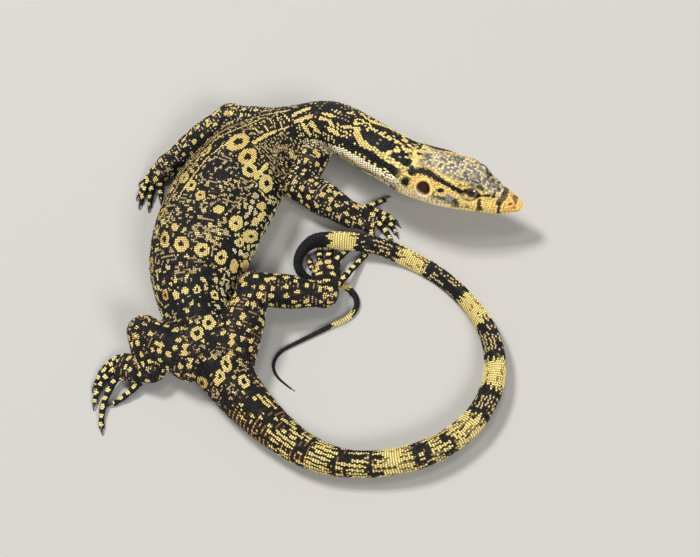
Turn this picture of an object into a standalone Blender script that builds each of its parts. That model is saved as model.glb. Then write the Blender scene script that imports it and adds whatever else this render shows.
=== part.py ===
"""A young water monitor lizard, life size and still, curled on the floor with its head raised.

The body is one long path from the snout to the tip of the tail. Every cross-section is stated by its
station, the distance along that path from the snout. Lengths below are in millimetres and angles in
degrees, and make_object turns them into metres. Each named piece of the animal is one closed solid,
and neighbours keep a gap of GAP.
"""

import math

import bmesh
import bpy
import numpy as np

MM = 0.001
GAP = 0.3
SINK = 0.35
# The middle of the floor that the animal covers, which finish moves to the origin.
MIDDLE = (-15.65, 2.44, 0.0)

# The path of the body, seen from above: where the snout is, which way the body runs from it, and
# then how far it goes and how far it turns, length after length.
SNOUT = (60.6, 17.6)
SNOUT_HEADING = 159.2
BENDS = (
    (38, -3.5), (20, -26), (16, 6.6), (14, 40.1), (16, 37.5), (16, 23),
    (20, 13), (20, 13), (20, 22), (20, 17), (20, 9), (20, 12), (20, 29), (20, 21),
    (20, 30), (20, 38), (20, 34), (20, 18), (20, 18), (20, 23),
    (8, -14), (10, 74), (8, 77), (12, 49), (12, -74), (8, -83), (24, 1), (12, 109), (8, 9),
)
PATH_STEP = 0.5
PATH_SMOOTHING = 6.0
BODY_LENGTH = sum(length for length, turn in BENDS)

# Half the width and half the height of the body behind the head.
GIRTH = (
    (40, 8.7, 7.6), (46, 9.2, 8.1), (54, 9.2, 8.3), (64, 9.1, 8.4), (76, 9.0, 8.4), (86, 9.1, 8.5),
    (96, 10.8, 9.2), (106, 14.5, 10.5), (118, 19.0, 11.8), (132, 20.6, 12.0), (146, 19.9, 11.9),
    (158, 18.2, 11.3), (168, 15.1, 10.5), (178, 12.1, 9.5), (188, 10.2, 8.9), (200, 9.2, 8.4),
    (214, 8.0, 7.6), (230, 6.5, 6.6), (246, 5.3, 5.7), (262, 4.3, 4.9), (280, 4.1, 5.1),
    (300, 3.6, 4.8), (320, 3.2, 4.4), (334, 2.8, 3.9), (350, 2.3, 3.4), (370, 2.0, 3.1),
    (400, 2.0, 3.1), (412, 1.9, 2.6), (424, 1.6, 1.9), (436, 1.3, 1.4), (456, 1.05, 1.1),
    (478, 0.8, 0.85), (496, 0.5, 0.5), (502, 0.32, 0.32),
)
# How square the underside of the body is: 2 is an ellipse.
SQUARENESS = ((46, 2.0), (90, 2.1), (115, 2.6), (160, 2.6), (200, 2.2), (240, 2.0), (502, 2.0))
# How far the back leans out of the curve.
LEAN = (
    (0, 17), (44, 17), (72, 9), (90, 6), (140, 3), (200, 6), (240, 14), (270, 34), (300, 46),
    (330, 38), (348, 30), (372, 48), (396, 58), (412, 24), (430, 0), (502, 0),
)
# How far the body is held clear of the floor.
LIFT = (
    (0, 4.9), (20, 9.7), (40, 13.9), (48, 14.9), (56, 13.6), (66, 11.2), (78, 8.4), (90, 4.6),
    (100, 1.6), (110, 0), (372, 0), (384, 1.9), (394, 3.4), (402, 4.2), (409, 3.5), (416, 1.6),
    (424, 0.2), (430, 0), (502, 0),
)

# The head, seen along the body path. Each line runs from the snout to the nape and gives the
# station, how far out it lies and how high above the line of the mouth.
TOP_LINE = (
    (2.5, 0, 2.8), (5, 0, 3.6), (9, 0, 4.6), (13, 0, 5.7), (17, 0, 7.2), (22, 0, 8.1), (29, 0, 8.2),
    (37, 0, 7.9), (46, 0, 8.1),
)
BROW_LINE = (
    (2.5, 1.7, 2.2), (5, 2.4, 3.0), (9, 3.2, 4.0), (13, 4.3, 5.2), (17, 5.7, 6.7), (22, 6.4, 7.4),
    (29, 6.4, 7.0), (37, 6.2, 6.4), (46, 6, 6.2),
)
SIDE_LINE = (
    (2.5, 2.6, 1.2), (5, 3.6, 1.7), (9, 4.5, 2.0), (13, 5.4, 2.9), (17, 6.7, 4.1), (22, 7.8, 4.5),
    (29, 8.8, 4.3), (37, 8.8, 3.9), (46, 8.3, 3.6),
)
LIP_LINE = (
    (2.5, 2.8, -0.2), (5, 4, -0.4), (9, 5.3, -0.5), (13, 6.4, -0.1), (17, 7.5, 0.5), (22, 8.7, 0.8),
    (29, 9.9, 0.6), (37, 9.8, 0.0), (46, 9.2, -0.4),
)
JAW_LINE = (
    (2.5, 1.9, -1.9), (5, 2.9, -2.7), (9, 4.1, -3.4), (13, 5.2, -3.9), (17, 6.3, -4.3),
    (22, 7.4, -4.7), (29, 8.4, -5.2), (37, 8.2, -5.6), (46, 7, -5.9),
)
THROAT_LINE = (
    (2.5, 0, -2.4), (5, 0, -3.4), (9, 0, -4.3), (13, 0, -4.9), (17, 0, -5.4), (22, 0, -5.9),
    (29, 0, -6.7), (37, 0, -7.3), (46, 0, -8.1),
)
# Where the six lines stand round the head, in degrees up from its right.
HEAD_ANGLES = (90, 56, 30, 0, -40, -90)
HEAD_SIDES = 36
SNOUT_RINGS = (0.12, 0.5, 1.1, 1.9, 2.8, 3.9, 5.2, 7, 9, 11, 13, 15, 17, 19, 21, 23.5)
# How far behind the tip the snout has rounded out to its lines, and the first station that they reach.
SNOUT_ROUND = 3.2
FIRST_LINE = TOP_LINE[0][0]
HEAD_END = 46.0
# The station and height along the parting of the lips, back to the corner of the mouth.
MOUTH_LINE = ((-2, -1.3), (3, -1.7), (8, -2.3), (14, -2.2), (19.5, -1.9), (24, -1.8), (27, -2.3))
JAW_BLOCK = (14.0, -12.0)

# Places on the right side of the straight head: station, distance out and height.
EYE_AT = (17.15, 3.95, 3.75)
EYE_RADIUS = 2.9
ORBIT_WALL = 0.55
EYE_OPENING = (2.6, 1.75)
LID_POINTS = 20
LID_CORNER = 1.3
EAR_AT = (32.0, 9.3, 1.5)
EAR_SIZE = (2.3, 1.2, 2.6)
NOSTRIL_AT = (3.9, 3.2, 2.0)
NOSTRIL_SIZE = (0.75, 0.8, 0.6)

# The lengths of neck, trunk and tail: where each starts and ends, how many sides it has and how far
# apart its rings are.
BODY_NODES = (
    ("neck", 46, 88, 28, 4.7), ("chest", 88, 124, 28, 4.5), ("belly", 124, 164, 28, 4.5),
    ("hips", 164, 206, 28, 4.7), ("tail_base", 206, 250, 20, 4.4), ("tail_second", 250, 296, 16, 4.6),
    ("tail_third", 296, 342, 14, 4.6), ("tail_fourth", 342, 388, 12, 4.6),
    ("tail_fifth", 388, 436, 12, 2.6), ("tail_tip", 436, 502, 8, 2.6),
)
TRIM_SIDES = 30
TRIM_STEP = 3.4
TRIM_REACH = (50, 250)

# The limbs. Each has its joints (x, y, z): the shoulder or hip, the elbow or knee, the wrist or heel,
# and the knuckles. Each of its three lengths has a radius at its start, middle and end, and how much
# wider than high it is at its two ends.
LIMBS = {
    "front_right": ((-10.0, 56.0, 10.5), (-18.2, 39.4, 9.0), (0.6, 26.4, 4.9), (7.4, 24.7, 3.0)),
    "front_left": ((-24.0, 66.0, 10.5), (-44.5, 71.0, 12.0), (-70.5, 57.7, 4.8), (-76.3, 54.6, 2.9)),
    "hind_right": ((-39.0, -26.0, 9.0), (-32.3, -4.0, 12.3), (-8.4, -6.4, 7.4), (-8.8, 7.4, 4.2)),
    "hind_left": ((-54.0, -27.0, 9.0), (-70.2, -17.0, 12.3), (-68.0, -28.6, 6.4), (-80.4, -24.8, 3.4)),
}
ARM_RADII = ((5.8, 5.8, 5.2), (5.6, 5.9, 4.1), (3.8, 3.1, 2.3))
ARM_WIDTHS = ((1.0, 1.0), (1.0, 1.15), (1.15, 1.8))
LEG_RADII = ((7.8, 7.4, 5.6), (5.6, 5.7, 3.9), (3.9, 3.3, 2.5))
LEG_WIDTHS = ((1.0, 1.0), (1.0, 1.15), (1.15, 2.05))
LIMB_NODES = {"front": ("upper_arm", "forearm", "hand"), "hind": ("thigh", "shin", "foot")}
BONE_SIDES = 16
# A toe has its root (x, y, z), the way it points, its length and how far it turns to the left.
TOES = {
    "front_right": (
        (3.4, 30.0, 2.6, 26, 9.5, 6), (8.4, 28.6, 2.6, -10, 8.5, -42), (9.8, 26.4, 2.6, -28, 8.5, -40),
        (9.4, 23.9, 2.6, -46, 7.5, -24), (6.4, 23.0, 2.6, -76, 6.5, -8),
    ),
    "front_left": (
        (-75.6, 58.4, 2.6, 206, 6.5, 10), (-78.0, 56.4, 2.6, 232, 8.5, 14),
        (-78.2, 54.0, 2.6, 244, 9.5, 12), (-76.4, 52.6, 2.6, 256, 9.5, 10),
        (-73.6, 53.0, 2.6, 268, 7.5, 6),
    ),
    "hind_right": (
        (-13.0, 6.2, 3.4, 130, 6.5, -34), (-11.0, 8.8, 3.2, 102, 9.3, -12),
        (-8.4, 9.4, 3.2, 87, 10.3, -14), (-5.8, 8.6, 3.2, 64, 12.8, -40),
        (-4.6, -2.0, 5.6, 61, 17.0, -8),
    ),
    "hind_left": (
        (-80.2, -20.8, 2.8, 174, 9.2, 50), (-82.2, -22.6, 2.8, 191, 11.6, 56),
        (-82.8, -25.0, 2.8, 206, 14.2, 60), (-81.2, -27.4, 2.8, 227, 19.8, 52),
        (-73.6, -31.0, 3.0, 224, 11.5, -22),
    ),
}
TOE_RADII = {"front": (1.35, 0.95), "hind": (1.4, 1.0)}
TOE_SIDES = 8
TOE_RINGS = 7
TOE_ARCH = 0.5
TOE_LEVEL = 0.6
KNUCKLES = 3
KNUCKLE_SWELL = 0.07
# A claw has its length, half its height and width at the root, and the pitch that it starts and ends with.
CLAW_LENGTH = {"front": 3.3, "hind": 3.6}
CLAW_SIZE = (0.66, 0.46)
CLAW_PITCH = (24, -66)
CLAW_RISE = 0.25
CLAW_TAPER = 0.86
CLAW_SIDES = 6
CLAW_STEPS = 4

SKIN_DARK = (0.035, 0.032, 0.028, 1.0)
SKIN_YELLOW = (0.55, 0.42, 0.12, 1.0)
EYE_COLOUR = (0.03, 0.015, 0.01, 1.0)
CLAW_COLOUR = (0.04, 0.03, 0.025, 1.0)


def curve_through(rows, at):
    """The columns after the first, read at the stations 'at' from a smooth curve that never overshoots."""
    rows = np.asarray(rows, float)
    at = np.atleast_1d(np.asarray(at, float))
    station, value = rows[:, 0], rows[:, 1:]
    step = np.diff(station)[:, None]
    slope = np.diff(value, axis=0) / step
    before, after = slope[:-1], slope[1:]
    product = before * after
    safe = np.where(product > 0, before + after, 1.0)
    tangent = np.zeros_like(value)
    tangent[1:-1] = np.where(product > 0, 2 * product / safe, 0.0)
    tangent[0], tangent[-1] = slope[0], slope[-1]
    index = np.clip(np.searchsorted(station, at, side="right") - 1, 0, len(station) - 2)
    width = step[index]
    t = np.clip((at - station[index]) / step[index, 0], 0, 1)[:, None]
    result = value[index] * (1 + 2 * t) * (1 - t) ** 2 + value[index + 1] * t**2 * (3 - 2 * t)
    result += width * (tangent[index] * t * (1 - t) ** 2 - tangent[index + 1] * t**2 * (1 - t))
    return result


def body_path():
    """Stations along the body with the place and the heading there, as four columns."""
    count = int(round(BODY_LENGTH / PATH_STEP))
    middle = (np.arange(count) + 0.5) * PATH_STEP
    lengths = np.array([length for length, turn in BENDS], float)
    turns = np.radians([turn for length, turn in BENDS])
    piece = np.searchsorted(np.cumsum(lengths), middle, side="right").clip(0, len(BENDS) - 1)
    bend = (turns / lengths)[piece]
    window = int(PATH_SMOOTHING / PATH_STEP) | 1
    padded = np.pad(bend, window // 2, mode="edge")
    bend = np.convolve(padded, np.full(window, 1 / window), mode="valid")
    heading = math.radians(SNOUT_HEADING) + np.cumsum(bend) * PATH_STEP - bend * PATH_STEP / 2
    x = SNOUT[0] + np.concatenate([[0], np.cumsum(np.cos(heading))]) * PATH_STEP
    y = SNOUT[1] + np.concatenate([[0], np.cumsum(np.sin(heading))]) * PATH_STEP
    station = np.arange(count + 1) * PATH_STEP
    return np.stack([station, x, y, np.concatenate([heading[:1], heading])], axis=1)


PATH = body_path()


def section_size(station):
    """Half width, half height and lean in radians at each station."""
    girth = curve_through(GIRTH, station)
    lean = np.radians(curve_through(LEAN, station)[:, 0])
    return girth[:, 0], girth[:, 1], lean


def height_of_centre(station):
    width, height, lean = section_size(station)
    reach = np.hypot(height * np.cos(lean), width * np.sin(lean))
    return curve_through(LIFT, station)[:, 0] + reach - SINK


def body_frame(station):
    """The centre, the animal's right and its up at each station, as rows of x, y, z."""
    station = np.atleast_1d(np.asarray(station, float))
    x, y, heading = (np.interp(station, PATH[:, 0], PATH[:, k]) for k in (1, 2, 3))
    z = height_of_centre(station)
    pitch = np.arctan((height_of_centre(station + 1) - height_of_centre(station - 1)) / 2)
    lean = section_size(station)[2]
    flat = np.zeros_like(x)
    side = np.stack([-np.sin(heading), np.cos(heading), flat], axis=1)
    up = np.stack(
        [-np.sin(pitch) * np.cos(heading), -np.sin(pitch) * np.sin(heading), np.cos(pitch)], axis=1
    )
    cos, sin = np.cos(lean)[:, None], np.sin(lean)[:, None]
    return np.stack([x, y, z], axis=1), side * cos + up * sin, up * cos - side * sin


def on_body(station, out, high):
    """World places of points given by station, distance to the animal's right and height."""
    centre, right, up = body_frame(station)
    return centre + right * np.asarray(out)[:, None] + up * np.asarray(high)[:, None]


def body_ring(station, sides, grown=0.0):
    """The cross-section behind the head: a rounded outline, squarer below."""
    width, height, lean = section_size([station])
    square = curve_through(SQUARENESS, [station])[0, 0]
    angle = np.arange(sides) * 2 * math.pi / sides
    cos, sin = np.cos(angle), np.sin(angle)
    power = np.where(sin < 0, 2 / square, 1.0)
    out = (width[0] + grown) * np.sign(cos) * np.abs(cos) ** power
    high = (height[0] + grown) * np.sign(sin) * np.abs(sin) ** power
    return on_body(np.full(sides, float(station)), out, high)


def rings_to_mesh(rings):
    """Points and faces of a closed tube through rings of equal size, with a fan at each end."""
    rings = [np.asarray(ring) for ring in rings]
    sides = len(rings[0])
    points = np.concatenate(rings + [rings[0].mean(axis=0)[None], rings[-1].mean(axis=0)[None]])
    first, last = len(points) - 2, len(points) - 1
    end = (len(rings) - 1) * sides
    faces = []
    for k in range(sides):
        following = (k + 1) % sides
        faces.append((first, following, k))
        faces.append((last, end + k, end + following))
        for row in range(0, end, sides):
            faces.append((row + k, row + following, row + sides + following, row + sides + k))
    return points, faces


def make_object(name, points, faces, material=None):
    """A mesh object from points in millimetres, its faces turned outward."""
    mesh = bpy.data.meshes.new(name)
    mesh.from_pydata([tuple(point) for point in np.asarray(points, float) * MM], [], faces)
    turn_outward(mesh)
    obj = bpy.data.objects.new(name, mesh)
    bpy.context.scene.collection.objects.link(obj)
    if material:
        mesh.materials.append(material)
    return obj


def turn_outward(mesh):
    shape = bmesh.new()
    shape.from_mesh(mesh)
    bmesh.ops.recalc_face_normals(shape, faces=shape.faces)
    if shape.calc_volume(signed=True) < 0:
        bmesh.ops.reverse_faces(shape, faces=shape.faces)
    shape.to_mesh(mesh)
    shape.free()


def combine(obj, operation, others, solver="EXACT"):
    """Joins, cuts or crosses an object with a group of closed ones, which it uses up."""
    group = bpy.data.collections.new("group")
    for other in others:
        group.objects.link(other)
        other.hide_render = True
        other.display_type = "WIRE"
    modifier = obj.modifiers.new("combine", "BOOLEAN")
    modifier.operation = operation
    modifier.solver = solver
    modifier.operand_type = "COLLECTION"
    modifier.collection = group
    bpy.context.view_layer.update()
    evaluated = obj.evaluated_get(bpy.context.evaluated_depsgraph_get())
    result = bpy.data.meshes.new_from_object(evaluated)
    obj.modifiers.clear()
    obj.data = result
    for other in others:
        bpy.data.objects.remove(other)
    bpy.data.collections.remove(group)


def keep_largest(obj):
    """Leaves only the closed surface that holds the most."""
    shape = bmesh.new()
    shape.from_mesh(obj.data)
    shape.faces.ensure_lookup_table()
    left = set(shape.faces)
    surfaces = []
    while left:
        surface = [left.pop()]
        for face in surface:
            for edge in face.edges:
                for neighbour in edge.link_faces:
                    if neighbour in left:
                        left.remove(neighbour)
                        surface.append(neighbour)
        surfaces.append(surface)
    surfaces.sort(key=spread, reverse=True)
    loose = [face for surface in surfaces[1:] for face in surface]
    bmesh.ops.delete(shape, geom=loose, context="FACES")
    shape.to_mesh(obj.data)
    shape.free()


def spread(surface):
    """The diagonal of the box round a surface."""
    points = np.array([vert.co for face in surface for vert in face.verts])
    return float(np.linalg.norm(points.max(axis=0) - points.min(axis=0)))


def stand_on_floor(obj):
    """Cuts off what lies below the floor, which leaves a flat there."""
    shape = bmesh.new()
    shape.from_mesh(obj.data)
    if min(vert.co.z for vert in shape.verts) < 0:
        everything = shape.verts[:] + shape.edges[:] + shape.faces[:]
        bmesh.ops.bisect_plane(
            shape, geom=everything, dist=1e-7, plane_co=(0, 0, 0), plane_no=(0, 0, -1), clear_outer=True
        )
        rim = [edge for edge in shape.edges if edge.is_boundary]
        bmesh.ops.holes_fill(shape, edges=rim, sides=0)
    shape.to_mesh(obj.data)
    shape.free()


def finish(obj):
    """Cleans a finished solid, centres it on the origin and shades its round faces smooth."""
    keep_largest(obj)
    stand_on_floor(obj)
    keep_largest(obj)
    shape = bmesh.new()
    shape.from_mesh(obj.data)
    bmesh.ops.remove_doubles(shape, verts=shape.verts, dist=2e-6)
    bmesh.ops.dissolve_degenerate(shape, edges=shape.edges, dist=2e-6)
    bmesh.ops.triangulate(shape, faces=shape.faces)
    bmesh.ops.translate(shape, vec=[-value * MM for value in MIDDLE], verts=shape.verts)
    shape.to_mesh(obj.data)
    shape.free()
    obj.data.shade_smooth()
    obj.data.set_sharp_from_angle(angle=math.radians(50))


def make_material(name, colour, roughness, metallic=0.0):
    material = bpy.data.materials.new(name)
    material.use_nodes = True
    surface = material.node_tree.nodes["Principled BSDF"]
    surface.inputs["Base Color"].default_value = colour
    surface.inputs["Roughness"].default_value = roughness
    surface.inputs["Metallic"].default_value = metallic
    material.diffuse_color = colour
    return material


def spaced(start, end, most):
    """Stations from start to end, no further apart than most."""
    return np.linspace(start, end, max(2, int(math.ceil((end - start) / most)) + 1))


def body_piece(name, start, end, sides, step, material):
    """A length of neck, trunk or tail with a flat cut at each end."""
    last = end if end == BODY_LENGTH else end - GAP / 2
    rings = [body_ring(station, sides) for station in spaced(start + GAP / 2, last, step)]
    return make_object(name, *rings_to_mesh(rings), material)


def trunk_cutter():
    """The neck and trunk grown by the gap, which trims whatever grows from them."""
    rings = [body_ring(station, TRIM_SIDES, GAP) for station in spaced(*TRIM_REACH, TRIM_STEP)]
    return make_object("trunk_cutter", *rings_to_mesh(rings))


def head_ring(station, sides):
    """Out and high of the head's outline, smooth through its six lines and mirrored."""
    lines = (TOP_LINE, BROW_LINE, SIDE_LINE, LIP_LINE, JAW_LINE, THROAT_LINE)
    knots = [curve_through(line, [max(station, FIRST_LINE)])[0] for line in lines]
    right = [(angle, out, high) for angle, (out, high) in zip(HEAD_ANGLES, knots)]
    left = [(180 - angle, -out, high) for angle, out, high in right[-2:0:-1]]
    closed = sorted(right + left, key=lambda row: row[0])
    below = [(angle - 360, out, high) for angle, out, high in closed[-2:]]
    above = [(angle + 360, out, high) for angle, out, high in closed[:3]]
    angle = -90 + np.arange(sides) * 360 / sides
    out, high = cardinal(below + closed + above, angle).T
    blunt = 1 - max(0.0, 1 - station / SNOUT_ROUND) ** 2
    scale = math.sqrt(max(blunt, 0.0))
    middle = (knots[0][1] + knots[-1][1]) * 0.3
    return out * scale, middle + (high - middle) * scale


def cardinal(rows, at):
    """A smooth curve through rows of knot and values, read at 'at', rounder than curve_through."""
    rows = np.asarray(rows, float)
    knot, value = rows[:, 0], rows[:, 1:]
    tangent = np.zeros_like(value)
    tangent[1:-1] = (value[2:] - value[:-2]) / (knot[2:] - knot[:-2])[:, None]
    index = np.clip(np.searchsorted(knot, at, side="right") - 1, 1, len(knot) - 3)
    width = (knot[index + 1] - knot[index])[:, None]
    t = (at - knot[index])[:, None] / width
    result = value[index] * (1 + 2 * t) * (1 - t) ** 2 + value[index + 1] * t**2 * (3 - 2 * t)
    return result + width * (tangent[index] * t * (1 - t) ** 2 - tangent[index + 1] * t**2 * (1 - t))


def straight_head():
    """The whole head before it is bent onto the body path: x is the station, y out and z high."""
    rings = []
    for station in SNOUT_RINGS + tuple(spaced(SNOUT_RINGS[-1] + 2.4, HEAD_END - GAP / 2, 2.9)):
        out, high = head_ring(station, HEAD_SIDES)
        rings.append(np.stack([np.full(HEAD_SIDES, station), out, high], axis=1))
    return make_object("head", *rings_to_mesh(rings))


def ball(name, centre, size, segments=16, rings=9):
    """A ball or egg from its centre and its half sizes."""
    shape = bmesh.new()
    bmesh.ops.create_uvsphere(shape, u_segments=segments, v_segments=rings, radius=1.0)
    points = [np.array(vert.co) * size + centre for vert in shape.verts]
    faces = [[vert.index for vert in face.verts] for face in shape.faces]
    shape.free()
    return make_object(name, points, faces)


def lid_cutter(side):
    """A flat almond bar from inside the eye outward, as long and as high as the open lids."""
    half_long, half_high = EYE_OPENING
    angle = np.arange(LID_POINTS) * 2 * math.pi / LID_POINTS
    high = half_high * np.sign(np.sin(angle)) * np.abs(np.sin(angle)) ** LID_CORNER
    rings = []
    for out in (EYE_AT[1] + EYE_RADIUS / 3, EYE_AT[1] + EYE_RADIUS * 2):
        x = EYE_AT[0] + half_long * np.cos(angle)
        rings.append(np.stack([x, np.full(LID_POINTS, out * side), EYE_AT[2] + high], axis=1))
    return make_object("lid_cutter", *rings_to_mesh(rings))


def jaw_block(grown):
    """What lies below the line of the mouth and ahead of its corner."""
    last = MOUTH_LINE[-1][0]
    along = spaced(MOUTH_LINE[0][0], last, 2.0)
    line = curve_through(MOUTH_LINE, along)[:, 0] + grown
    along[-1] = last + grown
    half_width, bottom = JAW_BLOCK
    profile = list(zip(along, line)) + [(last + grown, bottom), (along[0], bottom)]
    count = len(profile)
    points = [(x, side * half_width, z) for side in (-1, 1) for x, z in profile]
    faces = [tuple(range(count)), tuple(range(2 * count - 1, count - 1, -1))]
    for k in range(count):
        following = (k + 1) % count
        faces.append((k, following, count + following, count + k))
    return make_object("jaw_block", points, faces)


def bend_onto_body(obj):
    """Moves a piece made along a straight axis onto the body path."""
    points = np.array([vert.co for vert in obj.data.vertices]) / MM
    placed = on_body(points[:, 0], points[:, 1], points[:, 2]) * MM
    obj.data.vertices.foreach_set("co", placed.ravel())
    turn_outward(obj.data)


def mirrored(place, side):
    return np.array([place[0], place[1] * side, place[2]])


def make_head(skin, eye_material):
    """The head and the lower jaw, parted along the mouth, with the two eyes in their sockets."""
    head = straight_head()
    sides = (1, -1)
    socket = EYE_RADIUS + GAP
    combine(head, "UNION", [ball("orbit", mirrored(EYE_AT, s), socket + ORBIT_WALL) for s in sides])
    cutters = [ball("socket", mirrored(EYE_AT, s), socket) for s in sides]
    cutters += [ball("ear", mirrored(EAR_AT, s), EAR_SIZE, 14, 8) for s in sides]
    cutters += [ball("nostril", mirrored(NOSTRIL_AT, s), NOSTRIL_SIZE, 10, 6) for s in sides]
    combine(head, "DIFFERENCE", cutters)
    combine(head, "DIFFERENCE", [lid_cutter(s) for s in sides])
    jaw = make_object("jaw", [(0, 0, 0)], [])
    jaw.data = head.data.copy()
    combine(head, "DIFFERENCE", [jaw_block(GAP / 2)])
    combine(jaw, "INTERSECT", [jaw_block(-GAP / 2)])
    eyes = [ball("eye", mirrored(EYE_AT, s), EYE_RADIUS) for s in sides]
    eyes[0].name, eyes[1].name = "eye_right", "eye_left"
    for obj, material in ((head, skin), (jaw, skin), (eyes[0], eye_material), (eyes[1], eye_material)):
        bend_onto_body(obj)
        obj.data.materials.clear()
        obj.data.materials.append(material)
        finish(obj)


def bone(name, start, end, radii, widths, material=None):
    """A length of limb between two joints, thicker or thinner along its way and round at its ends."""
    start, end = np.array(start, float), np.array(end, float)
    length = float(np.linalg.norm(end - start))
    along = (end - start) / length
    side = np.cross((0, 0, 1), along)
    side /= np.linalg.norm(side)
    up = np.cross(along, side)
    first, middle, last = radii
    places = [-first * math.cos(math.radians(a)) for a in (12, 35, 60)]
    places += list(np.linspace(0, length, 6))
    places += [length + last * math.sin(math.radians(a)) for a in (30, 55, 78)]
    angle = np.arange(BONE_SIDES) * 2 * math.pi / BONE_SIDES
    rings = []
    for place in places:
        share = min(max(place / length, 0.0), 1.0)
        radius = curve_through(((0, first), (0.4, middle), (1, last)), [share])[0, 0]
        over = max(-place / first, (place - length) / last, 0.0)
        radius *= math.sqrt(1 - over**2)
        wide = radius * (widths[0] + (widths[1] - widths[0]) * share)
        ring = start + along * place + side * (wide * np.cos(angle))[:, None]
        rings.append(ring + up * (radius * np.sin(angle))[:, None])
    return make_object(name, *rings_to_mesh(rings), material)


def toe_path(row, radius, share):
    """Centre of a toe at a share of its length, and its heading there in radians."""
    x, y, z, heading, length, turn = row
    heading, turn = math.radians(heading), math.radians(turn)
    steps = 40
    passed = (np.arange(steps) + 0.5) / steps * share
    x += length * share * np.cos(heading + turn * passed).mean()
    y += length * share * np.sin(heading + turn * passed).mean()
    rest = radius - SINK
    z = z + (rest - z) * (1 - (1 - share) ** 1.6) + TOE_ARCH * 4 * share * (1 - share)
    return np.array([x, y, z]), heading + turn * share


def toe(row, radii):
    """A tapering toe with a swelling at each joint and a flat end where the claw begins."""
    angle = np.arange(TOE_SIDES) * 2 * math.pi / TOE_SIDES
    rings = []
    for share in np.linspace(0, 1, TOE_RINGS):
        centre, heading = toe_path(row, radii[1], share)
        before = toe_path(row, radii[1], max(share - 0.05, 0.0))[0]
        ahead = toe_path(row, radii[1], min(share + 0.05, 1.0))[0]
        along = (ahead - before) * (1, 1, TOE_LEVEL)
        along /= np.linalg.norm(along)
        side = np.array([-math.sin(heading), math.cos(heading), 0.0])
        up = np.cross(along, side)
        radius = radii[0] + (radii[1] - radii[0]) * share
        radius *= 1 + KNUCKLE_SWELL * math.cos(2 * math.pi * share * KNUCKLES)
        across = side * np.cos(angle)[:, None] + up * np.sin(angle)[:, None]
        rings.append(centre + across * radius)
    return make_object("toe", *rings_to_mesh(rings))


def claw(name, row, radius, length, material):
    """A hooked claw, flat-sided, that leaves the end of a toe and bends down to a point."""
    tip, heading = toe_path(row, radius, 1.0)
    forward = np.array([math.cos(heading), math.sin(heading), 0.0])
    side = np.array([-math.sin(heading), math.cos(heading), 0.0])
    up = np.array([0.0, 0.0, 1.0])
    centre = tip + forward * GAP + up * CLAW_RISE
    angle = np.arange(CLAW_SIDES) * 2 * math.pi / CLAW_SIDES
    across = side * (CLAW_SIZE[1] * np.cos(angle))[:, None]
    rings = [centre + across + up * (CLAW_SIZE[0] * np.sin(angle))[:, None]]
    for step in range(1, CLAW_STEPS + 1):
        share = step / CLAW_STEPS
        pitch = math.radians(CLAW_PITCH[0] + (CLAW_PITCH[1] - CLAW_PITCH[0]) * share)
        along = forward * math.cos(pitch) + up * math.sin(pitch)
        centre = centre + along * length / CLAW_STEPS
        taper = 1 - CLAW_TAPER * share**1.3
        high = np.cross(along, side) * (CLAW_SIZE[0] * taper * np.sin(angle))[:, None]
        rings.append(centre + across * taper + high)
    finish(make_object(name, *rings_to_mesh(rings), material))


def make_limb(name, skin, claw_material):
    """One leg: its upper and lower length, its foot with five toes, and the claws."""
    kind, side = name.split("_")
    names = [f"{part}_{side}" for part in LIMB_NODES[kind]]
    joints = LIMBS[name]
    radii = ARM_RADII if kind == "front" else LEG_RADII
    widths = ARM_WIDTHS if kind == "front" else LEG_WIDTHS
    upper, lower, foot = [bone(names[k], joints[k], joints[k + 1], radii[k], widths[k]) for k in range(3)]
    combine(foot, "UNION", [toe(row, TOE_RADII[kind]) for row in TOES[name]])
    grown = [radius + GAP for radius in radii[1]]
    for neighbour in (upper, foot):
        combine(neighbour, "DIFFERENCE", [bone("joint_cutter", joints[1], joints[2], grown, widths[1])])
    for obj in (upper, lower, foot):
        combine(obj, "DIFFERENCE", [trunk_cutter()])
        obj.data.materials.clear()
        obj.data.materials.append(skin)
        finish(obj)
    for number, row in enumerate(TOES[name], start=1):
        claw_name = f"claw_{names[2]}_{number}"
        claw(claw_name, row, TOE_RADII[kind][1], CLAW_LENGTH[kind], claw_material)


def main():
    for obj in list(bpy.data.objects):
        bpy.data.objects.remove(obj)
    skin = make_material("black_and_yellow_skin", SKIN_DARK, 0.55)
    banded = make_material("banded_tail_skin", SKIN_YELLOW, 0.55)
    eye_material = make_material("wet_eye", EYE_COLOUR, 0.1)
    claw_material = make_material("dark_claw", CLAW_COLOUR, 0.35)
    make_head(skin, eye_material)
    for name, start, end, sides, step in BODY_NODES:
        finish(body_piece(name, start, end, sides, step, banded if name.startswith("tail") else skin))
    for name in LIMBS:
        make_limb(name, skin, claw_material)


main()
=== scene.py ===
"""Looks of a young water monitor lizard, life size, black with yellow rings, bars and bands.

Lengths are in millimetres until make_mesh turns them into metres. A place on the body is given by its
station, the distance along the animal from the snout, and its angle round the section in degrees: 0 is
the animal's right, 90 the back, 180 the left and -90 the belly.
"""

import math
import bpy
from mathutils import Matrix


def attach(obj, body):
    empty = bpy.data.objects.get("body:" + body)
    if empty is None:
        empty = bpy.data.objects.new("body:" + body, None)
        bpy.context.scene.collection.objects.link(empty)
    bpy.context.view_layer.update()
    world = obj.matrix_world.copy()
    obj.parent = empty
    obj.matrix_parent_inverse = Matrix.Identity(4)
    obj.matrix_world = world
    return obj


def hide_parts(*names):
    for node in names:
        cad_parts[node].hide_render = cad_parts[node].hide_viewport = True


bl_info = {
    "name": "Water monitor",
    "version": (1, 0, 0),
    "blender": (4, 5, 0),
    "location": "View3D > Sidebar > Water monitor",
    "description": "Skin, scales, eyes and claws of a young water monitor lizard",
    "category": "Object",
}

import bpy
import numpy as np
from bpy.props import FloatProperty, FloatVectorProperty, PointerProperty
from mathutils import Matrix

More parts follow.
